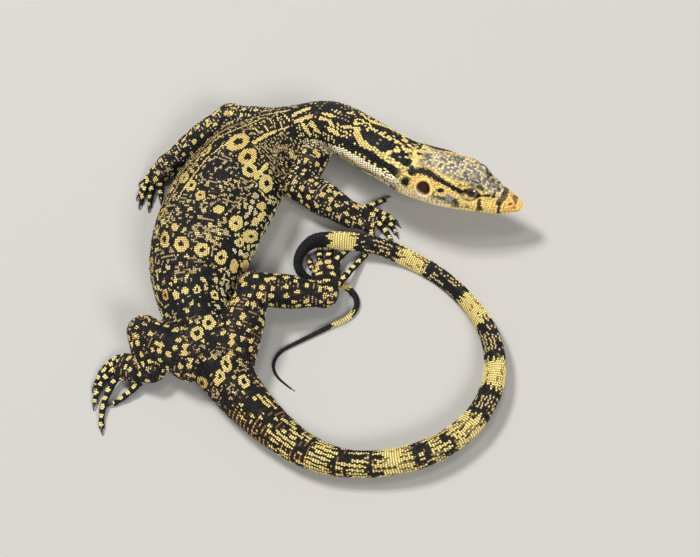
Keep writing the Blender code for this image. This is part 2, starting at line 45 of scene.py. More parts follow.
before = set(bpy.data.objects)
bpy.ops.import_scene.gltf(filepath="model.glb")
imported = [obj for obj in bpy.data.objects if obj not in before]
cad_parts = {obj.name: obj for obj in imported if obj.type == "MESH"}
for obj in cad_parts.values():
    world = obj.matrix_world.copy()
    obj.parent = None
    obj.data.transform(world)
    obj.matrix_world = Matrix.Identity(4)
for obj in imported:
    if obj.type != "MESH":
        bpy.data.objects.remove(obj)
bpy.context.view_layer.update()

MM = 0.001
# The middle of the floor that the animal covers, in the plan that its path is drawn in.
MIDDLE = np.array((-15.65, 2.44, 0.0))
# How flat the floor presses the flesh, how far the skin lies inside the solids to leave room for the
# scales, and the lowest that the skin comes.
SINK = 0.35
SKIN_DEPTH = 0.22
FLOOR_CLEARANCE = 0.03

# The path of the body seen from above: the length and turn of each bend. Then, by station: the half width
# and half height of the sections, how square they are below, how far they lean over, and how high they
# are held off the floor.
SNOUT = (60.6, 17.6)
SNOUT_HEADING = 159.2
BENDS = (
    (38, -3.5), (20, -26), (16, 6.6), (14, 40.1), (16, 37.5), (16, 23),
    (20, 13), (20, 13), (20, 22), (20, 17), (20, 9), (20, 12), (20, 29), (20, 21),
    (20, 30), (20, 38), (20, 34), (20, 18), (20, 18), (20, 23),
    (8, -14), (10, 74), (8, 77), (12, 49), (12, -74), (8, -83), (24, 1), (12, 109), (8, 9),
)
PATH_STEP = 0.5
PATH_SMOOTHING = 6.0
BODY_LENGTH = sum(length for length, turn in BENDS)
GIRTH = (
    (40, 8.7, 7.6), (46, 9.2, 8.1), (54, 9.2, 8.3), (64, 9.1, 8.4), (76, 9.0, 8.4), (86, 9.1, 8.5),
    (96, 10.8, 9.2), (106, 14.5, 10.5), (118, 19.0, 11.8), (132, 20.6, 12.0), (146, 19.9, 11.9),
    (158, 18.2, 11.3), (168, 15.1, 10.5), (178, 12.1, 9.5), (188, 10.2, 8.9), (200, 9.2, 8.4),
    (214, 8.0, 7.6), (230, 6.5, 6.6), (246, 5.3, 5.7), (262, 4.3, 4.9), (280, 4.1, 5.1),
    (300, 3.6, 4.8), (320, 3.2, 4.4), (334, 2.8, 3.9), (350, 2.3, 3.4), (370, 2.0, 3.1),
    (400, 2.0, 3.1), (412, 1.9, 2.6), (424, 1.6, 1.9), (436, 1.3, 1.4), (456, 1.05, 1.1),
    (478, 0.8, 0.85), (496, 0.5, 0.5), (502, 0.32, 0.32),
)
SQUARENESS = ((46, 2.0), (90, 2.1), (115, 2.6), (160, 2.6), (200, 2.2), (240, 2.0), (502, 2.0))
LEAN = (
    (0, 17), (44, 17), (72, 9), (90, 6), (140, 3), (200, 6), (240, 14), (270, 34), (300, 46),
    (330, 38), (348, 30), (372, 48), (396, 58), (412, 24), (430, 0), (502, 0),
)
LIFT = (
    (0, 4.9), (20, 9.7), (40, 13.9), (48, 14.9), (56, 13.6), (66, 11.2), (78, 8.4), (90, 4.6),
    (100, 1.6), (110, 0), (372, 0), (384, 1.9), (394, 3.4), (402, 4.2), (409, 3.5), (416, 1.6),
    (424, 0.2), (430, 0), (502, 0),
)

# The head before it is bent: for each angle round the section, the distance out and height of a line from
# the snout to the nape. Then the mouth, eyes, ears and nostrils.
HEAD_STATIONS = (2.5, 5, 9, 13, 17, 22, 29, 37, 46)
HEAD_LINES = {
    90: ((0, 2.8), (0, 3.6), (0, 4.6), (0, 5.7), (0, 7.2), (0, 8.1), (0, 8.2), (0, 7.9), (0, 8.1)),
    56: (
        (1.7, 2.2), (2.4, 3.0), (3.2, 4.0), (4.3, 5.2), (5.7, 6.7), (6.4, 7.4),
        (6.4, 7.0), (6.2, 6.4), (6, 6.2),
    ),
    30: (
        (2.6, 1.2), (3.6, 1.7), (4.5, 2.0), (5.4, 2.9), (6.7, 4.1), (7.8, 4.5),
        (8.8, 4.3), (8.8, 3.9), (8.3, 3.6),
    ),
    0: (
        (2.8, -0.2), (4, -0.4), (5.3, -0.5), (6.4, -0.1), (7.5, 0.5), (8.7, 0.8),
        (9.9, 0.6), (9.8, 0.0), (9.2, -0.4),
    ),
    -40: (
        (1.9, -1.9), (2.9, -2.7), (4.1, -3.4), (5.2, -3.9), (6.3, -4.3),
        (7.4, -4.7), (8.4, -5.2), (8.2, -5.6), (7, -5.9),
    ),
    -90: (
        (0, -2.4), (0, -3.4), (0, -4.3), (0, -4.9), (0, -5.4), (0, -5.9),
        (0, -6.7), (0, -7.3), (0, -8.1),
    ),
}
SNOUT_ROUND = 3.2
NAPE = (38.0, 52.0)
MOUTH_LINE = ((-2, -1.3), (3, -1.7), (8, -2.3), (14, -2.2), (19.5, -1.9), (24, -1.8), (27, -2.3))
MOUTH_CORNER = MOUTH_LINE[-1][0]
EYE_AT = (17.15, 3.95, 3.75)
EYE_RADIUS = 2.9
LID_RADIUS = 3.5
EYE_OPENING = (3.1, 2.3)
EAR_AT = (32.0, 9.3, 1.5)
EAR_SIZE = (2.4, 2.85)
NOSTRIL_AT = (3.9, 3.2, 2.0)
NOSTRIL_SIZE = (0.8, 0.6)

# Each leg as its joints from the root to the toes. Then, by kind: the stations of the trunk that it
# meets, the radii at the start, waist and end of each length, how much wider than high each length is at
# its start and end, and the names of the lengths.
LIMBS = {
    "front_right": ((-10.0, 56.0, 10.5), (-18.2, 39.4, 9.0), (0.6, 26.4, 4.9), (7.4, 24.7, 3.0)),
    "front_left": ((-24.0, 66.0, 10.5), (-44.5, 71.0, 12.0), (-70.5, 57.7, 4.8), (-76.3, 54.6, 2.9)),
    "hind_right": ((-39.0, -26.0, 9.0), (-32.3, -4.0, 12.3), (-8.4, -6.4, 7.4), (-8.8, 7.4, 4.2)),
    "hind_left": ((-54.0, -27.0, 9.0), (-70.2, -17.0, 12.3), (-68.0, -28.6, 6.4), (-80.4, -24.8, 3.4)),
}
LIMB_STATIONS = {"front": (78, 128), "hind": (166, 212)}
LIMB_RADII = {
    "front": ((5.8, 5.8, 5.2), (5.6, 5.9, 4.1), (3.8, 3.1, 2.3)),
    "hind": ((7.8, 7.4, 5.6), (5.6, 5.7, 3.9), (3.9, 3.3, 2.5)),
}
LIMB_WIDTHS = {
    "front": ((1.0, 1.0), (1.0, 1.15), (1.15, 1.8)),
    "hind": ((1.0, 1.0), (1.0, 1.15), (1.15, 2.05)),
}
LIMB_NODES = {"front": ("upper_arm", "forearm", "hand"), "hind": ("thigh", "shin", "foot")}
LIMB_WAIST = 0.4
# Each toe as its root, heading, length and turn.
TOES = {
    "front_right": (
        (3.4, 30.0, 2.6, 26, 9.5, 6), (8.4, 28.6, 2.6, -10, 8.5, -42), (9.8, 26.4, 2.6, -28, 8.5, -40),
        (9.4, 23.9, 2.6, -46, 7.5, -24), (6.4, 23.0, 2.6, -76, 6.5, -8),
    ),
    "front_left": (
        (-75.6, 58.4, 2.6, 206, 6.5, 10), (-78.0, 56.4, 2.6, 232, 8.5, 14),
        (-78.2, 54.0, 2.6, 244, 9.5, 12), (-76.4, 52.6, 2.6, 256, 9.5, 10),
        (-73.6, 53.0, 2.6, 268, 7.5, 6),
    ),
    "hind_right": (
        (-13.0, 6.2, 3.4, 130, 6.5, -34), (-11.0, 8.8, 3.2, 102, 9.3, -12),
        (-8.4, 9.4, 3.2, 87, 10.3, -14), (-5.8, 8.6, 3.2, 64, 12.8, -40),
        (-4.6, -2.0, 5.6, 61, 17.0, -8),
    ),
    "hind_left": (
        (-80.2, -20.8, 2.8, 174, 9.2, 50), (-82.2, -22.6, 2.8, 191, 11.6, 56),
        (-82.8, -25.0, 2.8, 206, 14.2, 60), (-81.2, -27.4, 2.8, 227, 19.8, 52),
        (-73.6, -31.0, 3.0, 224, 11.5, -22),
    ),
}
TOE_RADII = {"front": (1.35, 0.95), "hind": (1.4, 1.0)}
TOE_ARCH = 0.5
KNUCKLES = 3
KNUCKLE_SWELL = 0.07
TOE_END = 0.9
CLAW_LENGTH = {"front": 3.3, "hind": 3.6}
CLAW_SIZE = (0.66, 0.46)
CLAW_PITCH = (24, -66)
CLAW_RISE = 0.25

# How widely flesh flows together where a limb leaves the trunk, and where its lengths meet.
ROOT_BLEND = 3.2
JOINT_BLEND = 1.4
FLOW_STEPS = 7

# Marks of the neck and trunk as ovals: station, angle, half length, half width, turn, size of the dark
# middle, and how golden the mark is.
RINGS = (
    (115, 92, 3.8, 3.3, 0, 0.4, 0.9), (118, 68, 3.8, 2.7, 5, 0.4, 0.8),
    (122.5, 57, 3.2, 2.5, 0, 0.4, 0.4), (123, 30, 4.2, 3.2, 0, 0.34, 0.2),
    (133, 126, 2.7, 2.0, -50, 0.4, 0.2), (136, 108, 2.3, 1.7, -15, 0.35, 0.8),
    (139, 92, 2.1, 1.5, 0, 0.25, 0.9), (143, 66, 2.0, 1.6, 0, 0.0, 0.1),
    (151.5, 108, 1.6, 1.2, -50, 0.0, 0.8), (146, 42, 3.4, 2.4, 0, 0.25, 0.1),
    (155.5, 120, 3.1, 1.9, -20, 0.4, 0.7), (157.5, 96, 2.9, 2.3, -20, 0.38, 0.6),
    (159.5, 70, 2.7, 2.2, -15, 0.36, 0.1), (161.5, 44, 3.1, 2.0, -12, 0.36, 0.0),
    (163.5, 18, 3.2, 2.0, -34, 0.0, 0.5), (160, -6, 4.0, 2.6, 70, 0.0, 0.4),
    (148, 13, 4.4, 3.0, 60, 0.25, 0.1), (173, 126, 1.8, 1.4, 28, 0.4, 0.6),
    (174.5, 106, 1.6, 1.2, 0, 0.0, 0.4), (174, 90, 1.3, 1.1, -18, 0.0, 0.1),
    (174.5, 72, 1.7, 1.2, 0, 0.3, 0.0), (177.5, 42, 2.3, 1.4, -28, 0.35, 0.0),
    (188.5, 62, 3.1, 2.1, 7, 0.36, 0.1), (190.5, 92, 2.6, 2.2, 0, 0.45, 0.6),
    (190.5, 124, 2.2, 1.9, -50, 0.5, 0.9), (187.5, 150, 3.4, 1.8, -80, 0.4, 0.7),
    (206, 70, 3.0, 1.7, 20, 0.4, 0.3), (208, 96, 2.3, 1.5, 16, 0.4, 0.5),
    (208.5, 112, 1.4, 1.0, 16, 0.0, 0.5), (204, 150, 3.6, 2.0, -66, 0.4, 0.6),
    (214.5, 58, 2.8, 1.8, 13, 0.45, 0.2), (146, 140, 2.4, 1.6, 10, 0.4, 0.6),
    (162, 148, 2.6, 1.8, 0, 0.4, 0.5), (122, 120, 2.2, 1.6, 0, 0.4, 0.6),
    (137, 12, 2.8, 1.6, 9, 0.0, 0.1), (141, 16, 2.2, 1.8, 11, 0.0, 0.1),
    (153, 26, 2.2, 2.0, 39, 0.3, 0.0), (133, 20, 2.6, 2.0, 35, 0.0, 0.5),
    (61.5, 90, 2.0, 1.8, 0, 0.45, 0.3), (97, 10, 2.0, 1.8, 0, 0.0, 0.0),
)
# Strokes of the neck and trunk: half width, how golden, and places as station and angle.
STROKES = (
    (1.2, 0.45, ((59, 69), (56.5, 56), (53.5, 49), (50.5, 46), (46, 47), (42, 46), (38, 43))),
    (0.9, 0.4, ((46.5, 52), (45, 62), (44.5, 74))), (0.55, 0.4, ((66, 59), (62.5, 66), (59.5, 70))),
    (0.5, 0.4, ((69, 100), (66, 106), (63.5, 114))), (0.65, 0.2, ((77, 62), (72, 58), (69, 52))),
    (0.6, 0.2, ((77, 72), (72, 74))), (0.8, 0.1, ((71, 42), (65.5, 40))),
    (0.85, 0.5, ((89, 66), (81.5, 66))), (0.9, 0.3, ((90, 86), (84, 92))),
    (0.8, 0.5, ((81.5, 52), (76.5, 26))), (0.9, 0.2, ((85.5, 52), (82, 22))),
    (0.75, 0.1, ((124, 46), (120, 44), (115.5, 42))), (0.45, 0.3, ((128, 34), (129, 18), (127, 0))),
    (0.7, 0.6, ((112, 76), (104.5, 74), (100, 70))), (0.3, 0.3, ((100, 70), (92.5, 62))),
    (0.3, 0.5, ((106, 100), (105.5, 88))), (0.3, 0.5, ((102.6, 99), (102.2, 80))),
    (0.3, 0.5, ((99.4, 98), (98.8, 76))), (0.3, 0.5, ((96.2, 97), (95, 70))),
    (0.3, 0.5, ((93.2, 94), (91.6, 72))),
    (0.45, 0.4, (
        (91.5, 106), (96.5, 118), (101, 124), (107, 136), (112.5, 134), (120.5, 131), (129.5, 136),
    )),
    (0.42, 0.4, ((129.5, 136), (137.5, 147), (146, 156), (160, 160), (175, 158))),
    (0.36, 0.4, ((101, 114), (111, 114), (117.5, 123), (126.5, 122), (134.5, 128), (147, 134))),
    (0.32, 0.4, ((117, 102), (125, 110), (132.5, 112), (142, 118))),
    (0.3, 0.5, ((108, 142), (120, 139), (134, 148), (150, 168), (170, 168))),
)
# Black strokes and ovals of the neck and armpit, drawn over the yellow ones.
DARK_STROKES = (
    (1.25, ((66, 28), (59.5, 32), (56, 33), (49.5, 33), (45.5, 30), (41, 26), (38.5, 24))),
    (0.9, ((106, -2), (96.5, -8), (90, -18))), (0.5, ((130, 30), (131, 16), (129, 0))),
    (1.5, ((53.5, 76), (47, 75))), (1.3, ((43.5, 60), (39.5, 60))), (0.35, ((60, 98), (66, 92))),
)
# Blocks and bands along the tail: where each starts, how much of it is yellow, and how much is brown.
TAIL_BANDS = (
    (214, 0.1, 0.4), (220, 0.56, 0.1), (227, 0.2, 0.6), (235, 0.6, 0.1), (243, 0.2, 0.6),
    (247.5, 0.68, 0.1), (254, 0.35, 0.3), (260.5, 0.72, 0.0), (265.5, 0.12, 0.6), (268, 0.8, 0.0),
    (271, 0.93, 0.0), (280, 0.4, 0.3), (285.5, 0.8, 0.0), (289, 0.25, 0.1), (293, 0.92, 0.0),
    (297, 0.97, 0.0), (304, 0.0, 0.0), (313.5, 1.0, 0.0), (325, 0.0, 0.0), (338.5, 1.0, 0.0),
    (352, 0.0, 0.0), (369, 1.0, 0.0), (381.5, 0.0, 0.0), (396, 1.0, 0.0), (406, 0.0, 0.0),
    (441, 1.0, 0.0), (446, 0.0, 0.0), (455, 1.0, 0.0), (464, 0.0, 0.0),
)


def linear(code):
    """The linear red, green and blue of an sRGB hex value."""
    value = np.array([int(code[k : k + 2], 16) / 255 for k in (1, 3, 5)])
    return tuple(np.where(value <= 0.04045, value / 12.92, ((value + 0.055) / 1.055) ** 2.4))


def colour(name, description, code):
    return FloatVectorProperty(
        name=name, description=description, size=3, subtype="COLOR", default=linear(code)
    )


def length(name, description, millimetres):
    return FloatProperty(
        name=name, description=description, unit="LENGTH", precision=5, default=millimetres * MM
    )


class LizardSizes(bpy.types.PropertyGroup):
    """Sizes of the scales that a user would change."""

    trunk_row: length("Trunk row", "Distance between two rows of scales across the trunk", 0.68)
    trunk_scale: length("Trunk scale", "Distance between two scales of one row on the back", 0.68)
    belly_scale: length("Belly scale", "Distance between two scales of one row on the belly", 1.0)
    neck_row: length("Neck row", "Distance between two rows on the nape", 0.86)
    head_row: length("Head row", "Distance between two plates along the head", 0.92)
    tail_row: length("Tail row", "Distance between two whorls of the tail", 0.8)
    tail_scale: length("Tail scale", "Distance between two scales of one whorl", 0.62)
    limb_row: length("Limb row", "Distance between two rows across a leg", 0.66)
    toe_row: length("Toe row", "Distance between two rows across a toe", 0.7)
    scale_height: length("Scale height", "How far a trunk scale stands above the skin", 0.26)


class LizardColours(bpy.types.PropertyGroup):
    """Colours of the animal that a user would change."""

    black: colour("Black", "Ground colour of the back", "#0f0f11")
    yellow: colour("Yellow", "Rings and spots of the back", "#edda8c")
    gold: colour("Gold", "Warmer rings, strokes and lips", "#e2b25a")
    tan: colour("Tan", "Fine net and dashes between the rings", "#b9a076")
    brown: colour("Brown", "Fine dashes of the hips and tail root", "#946a3e")
    cream: colour("Cream", "Belly and throat", "#f0e6c2")
    tail_yellow: colour("Tail yellow", "Bands of the tail", "#e9da8a")
    head_yellow: colour("Head yellow", "Lips and cheeks", "#edc568")
    head_grey: colour("Head grey", "Plates of the crown", "#84858a")
    ear: colour("Ear", "Skin of the eardrum", "#3a201b")
    iris: colour("Iris", "Ring of the eye round the pupil", "#663322")
    claw: colour("Claw", "Horn of the claws", "#2b211b")
    floor: colour("Floor", "Plain ground under the animal", "#aaa8a4")


def curve_through(rows, at):
    """A smooth curve through rows of station and values that never overshoots, read at 'at'."""
    rows = np.asarray(rows, float)
    at = np.atleast_1d(np.asarray(at, float))
    station, value = rows[:, 0], rows[:, 1:]
    step = np.diff(station)[:, None]
    slope = np.diff(value, axis=0) / step
    before, after = slope[:-1], slope[1:]
    product = before * after
    safe = np.where(product > 0, before + after, 1.0)
    tangent = np.zeros_like(value)
    tangent[1:-1] = np.where(product > 0, 2 * product / safe, 0.0)
    tangent[0], tangent[-1] = slope[0], slope[-1]
    index = np.clip(np.searchsorted(station, at, side="right") - 1, 0, len(station) - 2)
    width = step[index]
    t = np.clip((at - station[index]) / step[index, 0], 0, 1)[:, None]
    result = value[index] * (1 + 2 * t) * (1 - t) ** 2 + value[index + 1] * t**2 * (3 - 2 * t)
    return result + width * (tangent[index] * t * (1 - t) ** 2 - tangent[index + 1] * t**2 * (1 - t))


def smooth(low, high, value):
    """0 below low, 1 above high, and an S curve between them."""
    share = np.clip((value - low) / (high - low), 0, 1)
    return share * share * (3 - 2 * share)


def between(value, start, full, fading, end):
    """0 before start, 1 from full to fading and 0 after end, with S curves on the way."""
    return smooth(start, full, value) * (1 - smooth(fading, end, value))


def hump(value, middle, width):
    """A bell of height 1 about the middle."""
    return np.exp(-(((value - middle) / width) ** 2))


def dot(a, b):
    return np.einsum("ij,ij->i", a, b)


def unit(vectors):
    return vectors / np.maximum(np.linalg.norm(vectors, axis=-1, keepdims=True), 1e-9)


def wrapped(angle):
    """The same angle, from -90 up to 270 degrees."""
    return np.mod(angle + 90, 360) - 90


def mirrored(angle):
    """The angle of the same place on the animal's right side."""
    return np.where(angle > 90, 180 - angle, angle)


def inside(value, low, high):
    return (value > low) & (value < high)


def read_rows(rows, at):
    """Straight lines through rows of station and value, read at 'at'."""
    stations, values = zip(*rows)
    return np.interp(at, stations, values)


def round_turn(count):
    """Angles in radians, evenly spaced round a circle."""
    return np.arange(count) * 2 * math.pi / count


def grid_of(first, second):
    """Two flat arrays that pair each value of the first with each value of the second."""
    return [grid.ravel() for grid in np.meshgrid(first, second, indexing="ij")]


def body_path():
    """Station, x, y and heading along the body, from its bends smoothed over a short window."""
    count = int(round(BODY_LENGTH / PATH_STEP))
    middle = (np.arange(count) + 0.5) * PATH_STEP
    lengths = np.array([run for run, turn in BENDS], float)
    turns = np.radians([turn for run, turn in BENDS])
    piece = np.searchsorted(np.cumsum(lengths), middle, side="right").clip(0, len(BENDS) - 1)
    bend = (turns / lengths)[piece]
    window = int(PATH_SMOOTHING / PATH_STEP) | 1
    bend = np.convolve(np.pad(bend, window // 2, mode="edge"), np.full(window, 1 / window), mode="valid")
    heading = math.radians(SNOUT_HEADING) + np.cumsum(bend) * PATH_STEP - bend * PATH_STEP / 2
    x = SNOUT[0] + np.concatenate([[0], np.cumsum(np.cos(heading))]) * PATH_STEP
    y = SNOUT[1] + np.concatenate([[0], np.cumsum(np.sin(heading))]) * PATH_STEP
    station = np.arange(count + 1) * PATH_STEP
    return np.stack([station, x, y, np.concatenate([heading[:1], heading])], axis=1)


TABLE_STEP = 0.25


def body_table():
    """Rows of centre, right, up, half width, half height and squareness, every TABLE_STEP."""
    path = body_path()
    station = np.arange(0, BODY_LENGTH + TABLE_STEP, TABLE_STEP)
    girth = curve_through(GIRTH, station)
    lean = np.radians(curve_through(LEAN, station)[:, 0])
    x, y, heading = (np.interp(station, path[:, 0], path[:, k]) for k in (1, 2, 3))
    reach = np.hypot(girth[:, 1] * np.cos(lean), girth[:, 0] * np.sin(lean))
    z = curve_through(LIFT, station)[:, 0] + reach - SINK
    pitch = np.arctan(np.gradient(z, station))
    flat = np.zeros_like(x)
    side = np.stack([-np.sin(heading), np.cos(heading), flat], axis=1)
    rise = [-np.sin(pitch) * np.cos(heading), -np.sin(pitch) * np.sin(heading), np.cos(pitch)]
    up = np.stack(rise, axis=1)
    cos, sin = np.cos(lean)[:, None], np.sin(lean)[:, None]
    centre = np.stack([x, y, z], axis=1) - MIDDLE
    square = curve_through(SQUARENESS, station)
    return np.concatenate([centre, side * cos + up * sin, up * cos - side * sin, girth, square], axis=1)


BODY_TABLE = body_table()


def read_table(table, station):
    """Rows of a table spaced TABLE_STEP apart, read between its stations."""
    place = np.clip(np.asarray(station, float) / TABLE_STEP, 0, len(table) - 1.001)
    index = place.astype(int)
    share = (place - index).reshape((-1,) + (1,) * (table.ndim - 1))
    return table[index] * (1 - share) + table[index + 1] * share


def bent(station, out, high):
    """Where a place of the straight body lies once the body follows its path."""
    row = read_table(BODY_TABLE, station)
    return row[:, :3] + row[:, 3:6] * out[:, None] + row[:, 6:9] * high[:, None]


HEAD_KNOTS = np.array((-140, -90, -40, 0, 30, 56, 90, 124), float)
TOP_KNOT = 6
THROAT_KNOT = 1


def head_table():
    """Out and high of the head's lines, with their mirror images past the top and the throat."""
    station = np.arange(0, NAPE[1] + 2, TABLE_STEP)
    ahead = np.maximum(station, HEAD_STATIONS[0])
    rows = {}
    for angle, line in HEAD_LINES.items():
        rows[angle] = curve_through([(s, *place) for s, place in zip(HEAD_STATIONS, line)], ahead)
    rows[-140] = rows[-40] * (-1, 1)
    rows[124] = rows[56] * (-1, 1)
    return np.stack([rows[int(angle)] for angle in HEAD_KNOTS], axis=1)


HEAD_TABLE = head_table()


def head_outline(station, angle):
    """Out and high of the head: a smooth curve through its lines, drawn in to the tip of the snout."""
    side = np.where(angle > 90, -1.0, 1.0)
    angle = mirrored(angle)
    rows = read_table(HEAD_TABLE, station)
    index = np.clip(np.searchsorted(HEAD_KNOTS, angle, side="right") - 1, 1, len(HEAD_KNOTS) - 3)
    each = np.arange(len(angle))
    knots = [HEAD_KNOTS[index + k][:, None] for k in (-1, 0, 1, 2)]
    values = [rows[each, index + k] for k in (-1, 0, 1, 2)]
    width = knots[2] - knots[1]
    leaving = (values[2] - values[0]) / (knots[2] - knots[0]) * width
    arriving = (values[3] - values[1]) / (knots[3] - knots[1]) * width
    t = (angle[:, None] - knots[1]) / width
    place = values[1] * (1 + 2 * t) * (1 - t) ** 2 + values[2] * t**2 * (3 - 2 * t)
    place = place + leaving * t * (1 - t) ** 2 - arriving * t**2 * (1 - t)
    scale = np.sqrt(np.maximum(1 - np.maximum(0, 1 - station / SNOUT_ROUND) ** 2, 0))
    middle = (rows[:, TOP_KNOT, 1] + rows[:, THROAT_KNOT, 1]) * 0.3
    return place[:, 0] * scale * side, middle + (place[:, 1] - middle) * scale


def eye_offsets(station, out, high):
    """The way from the nearer eye's middle, its length, and how far from the opening a place is.

    The opening is the lens between two parabolas, so its measure is 1 on the edge and less inside."""
    side = np.where(out < 0, -1.0, 1.0)
    away = np.stack([station - EYE_AT[0], out - EYE_AT[1] * side, high - EYE_AT[2]], axis=1)
    far = np.linalg.norm(away, axis=1)
    lens = (away[:, 0] / EYE_OPENING[0]) ** 2 + np.abs(away[:, 2]) / EYE_OPENING[1]
    lens = np.where(away[:, 1] * side > 0.2, lens, 9.0)
    return away, far, lens


def straight_body(station, angle):
    """Station, out and high of the skin before relief: an ellipse squarer below, the head's outline
    ahead of the nape, and a ball round each eye with the lens between the lids pressed in."""
    row = read_table(BODY_TABLE, station)
    width, height, square = row[:, 9], row[:, 10], row[:, 11]
    cos, sin = np.cos(np.radians(angle)), np.sin(np.radians(angle))
    power = np.where(sin < 0, 2 / square, 1.0)
    out = width * np.sign(cos) * np.abs(cos) ** power
    high = height * np.sign(sin) * np.abs(sin) ** power
    station = station.copy()
    head = station < NAPE[1]
    if head.any():
        share = smooth(NAPE[0], NAPE[1], station[head])
        head_out, head_high = head_outline(station[head], angle[head])
        out[head] = head_out + (out[head] - head_out) * share
        high[head] = head_high + (high[head] - head_high) * share
    near = np.abs(station - EYE_AT[0]) < 6
    if near.any():
        away, far, lens = eye_offsets(station[near], out[near], high[near])
        gap = np.clip(0.5 + (LID_RADIUS - far) / 1.2, 0, 1)
        lifted = far + (LID_RADIUS - far) * gap + 0.3 * gap * (1 - gap)
        lifted = lifted + 0.22 * hump(lens, 1.18, 0.16) + 0.3 * hump(lens, 1.75, 0.22) * (away[:, 2] > 0)
        open_share = 1 - smooth(0.84, 1.0, lens)
        lifted = lifted + (EYE_RADIUS - 0.5 - lifted) * open_share
        moved = away * (lifted / np.maximum(far, 0.1))[:, None] - away
        station[near] += moved[:, 0]
        out[near] += moved[:, 1]
        high[near] += moved[:, 2]
    return station, out, high


def oval(station, high, at, size):
    return np.hypot((station - at[0]) / size[0], (high - at[2]) / size[1])


def above_mouth(station, high):
    return high - curve_through(MOUTH_LINE, station)[:, 0]


def body_relief(station, angle, out, high):
    """How far the skin stands out from the plain body: nostrils, ears, lips, brow, folds."""
    relief = np.zeros_like(station)
    head = station < 60
    if head.any():
        s, o, h = station[head], np.abs(out[head]), high[head]
        nostril = oval(s, h, NOSTRIL_AT, NOSTRIL_SIZE)
        ear = oval(s, h, EAR_AT, EAR_SIZE)
        outer = o > 1.5
        part = -0.75 * (1 - smooth(0.45, 1.05, nostril)) * outer + 0.16 * hump(nostril, 1.35, 0.35) * outer
        part += -1.15 * (1 - smooth(0.78, 1.0, ear)) + 0.3 * hump(ear, 1.13, 0.14)
        lip = above_mouth(s, h)
        mouth = 1 - smooth(MOUTH_CORNER - 1.5, MOUTH_CORNER + 0.3, s)
        lips = 0.2 * hump(lip, 0.8, 0.6) + 0.14 * hump(lip, -0.75, 0.5) - 0.5 * hump(lip, 0, 0.17)
        part += mouth * lips
        up = np.abs(angle[head] - 90)
        part += 0.28 * hump(up, 36, 7) * between(s, 7, 12, 22, 30)
        part -= 0.35 * hump(up, 16, 9) * between(s, 6, 10, 13, 17)
        part += 0.35 * hump(up, 52, 16) * hump(s, 30, 5)
        part -= 0.5 * hump(up, 180, 60) * hump(s, 50 + 1.5 * np.cos(np.radians(up)), 0.9)
        relief[head] = part
    inner = hump(angle, 10, 60)
    neck = between(station, 64, 74, 96, 104)
    wave = np.sin(station * 1.7 + 0.03 * angle + 1.4 * np.sin(station * 0.31))
    relief += 0.26 * wave * neck * inner
    flank = hump(angle, -2, 15) + hump(angle, 186, 14)
    trunk = between(station, 108, 122, 164, 176)
    relief += trunk * (0.45 * flank - 0.35 * (hump(angle, 20, 10) + hump(angle, 163, 10)))
    fine = np.sin(station * 2.1 + 0.05 * angle) * (hump(angle, 5, 22) + hump(angle, 178, 22))
    relief += 0.12 * fine * between(station, 100, 112, 172, 186)
    groin = hump(station, 176, 9) * (hump(angle, 8, 26) + hump(angle, 172, 26))
    relief += 0.22 * np.sin(station * 1.9 - 0.06 * angle) * groin
    spine = hump(angle, 90, 9) * between(station, 100, 112, 196, 230)
    relief -= 0.22 * spine
    keel = between(station, 240, 275, 420, 440)
    relief += 0.3 * keel * (hump(angle, 97, 6) + hump(angle, 83, 6))
    return relief


def limb_radius(radii, share):
    """Radius along a length of limb, by S curves from its start to its waist and on to its end."""
    first, waist, last = radii
    falling = first + (waist - first) * smooth(0, LIMB_WAIST, share)
    return np.where(share < LIMB_WAIST, falling, waist + (last - waist) * smooth(LIMB_WAIST, 1, share))


def bone_field(points, bone):
    """Signed distance, to first order, from a rounded and tapered length of limb."""
    start, along, side, up, run, radii, widths = bone
    away = points - start
    place = away @ along
    share = np.clip(place / run, 0, 1)
    radius = limb_radius(radii, share)
    wide = widths[0] + (widths[1] - widths[0]) * share
    rest = place - share * run
    across, over = away @ side, away @ up
    squeezed = np.sqrt(rest**2 + (across / wide) ** 2 + over**2)
    true = np.sqrt(rest**2 + across**2 + over**2)
    return (squeezed - radius) * true / np.maximum(squeezed, 1e-6)


def make_bone(start, end, radii, widths):
    """One length of limb: start, heading, side, up, length, radii and widths."""
    start, end = np.array(start) - MIDDLE, np.array(end) - MIDDLE
    run = float(np.linalg.norm(end - start))
    along = (end - start) / run
    side = unit(np.cross((0, 0, 1), along))
    return start, along, side, np.cross(along, side), run, radii, widths


def limb_bones(name):
    """The lengths of a limb, from its root to its foot or hand."""
    kind = name.split("_")[0]
    rows = zip(LIMBS[name], LIMBS[name][1:], LIMB_RADII[kind], LIMB_WIDTHS[kind])
    return [make_bone(*row) for row in rows]


BONES = {name: limb_bones(name) for name in LIMBS}


def soft_minimum(a, b, blend):
    """The smaller of two distances, rounded off where they are within the blend of each other."""
    near = np.maximum(blend - np.abs(a - b), 0) / blend
    return np.minimum(a, b) - near * near * blend / 4


def limb_field(points, bones):
    """Signed distance from a whole limb, its lengths rounded together."""
    field = bone_field(points, bones[0])
    for bone in bones[1:]:
        field = soft_minimum(field, bone_field(points, bone), JOINT_BLEND)
    return field


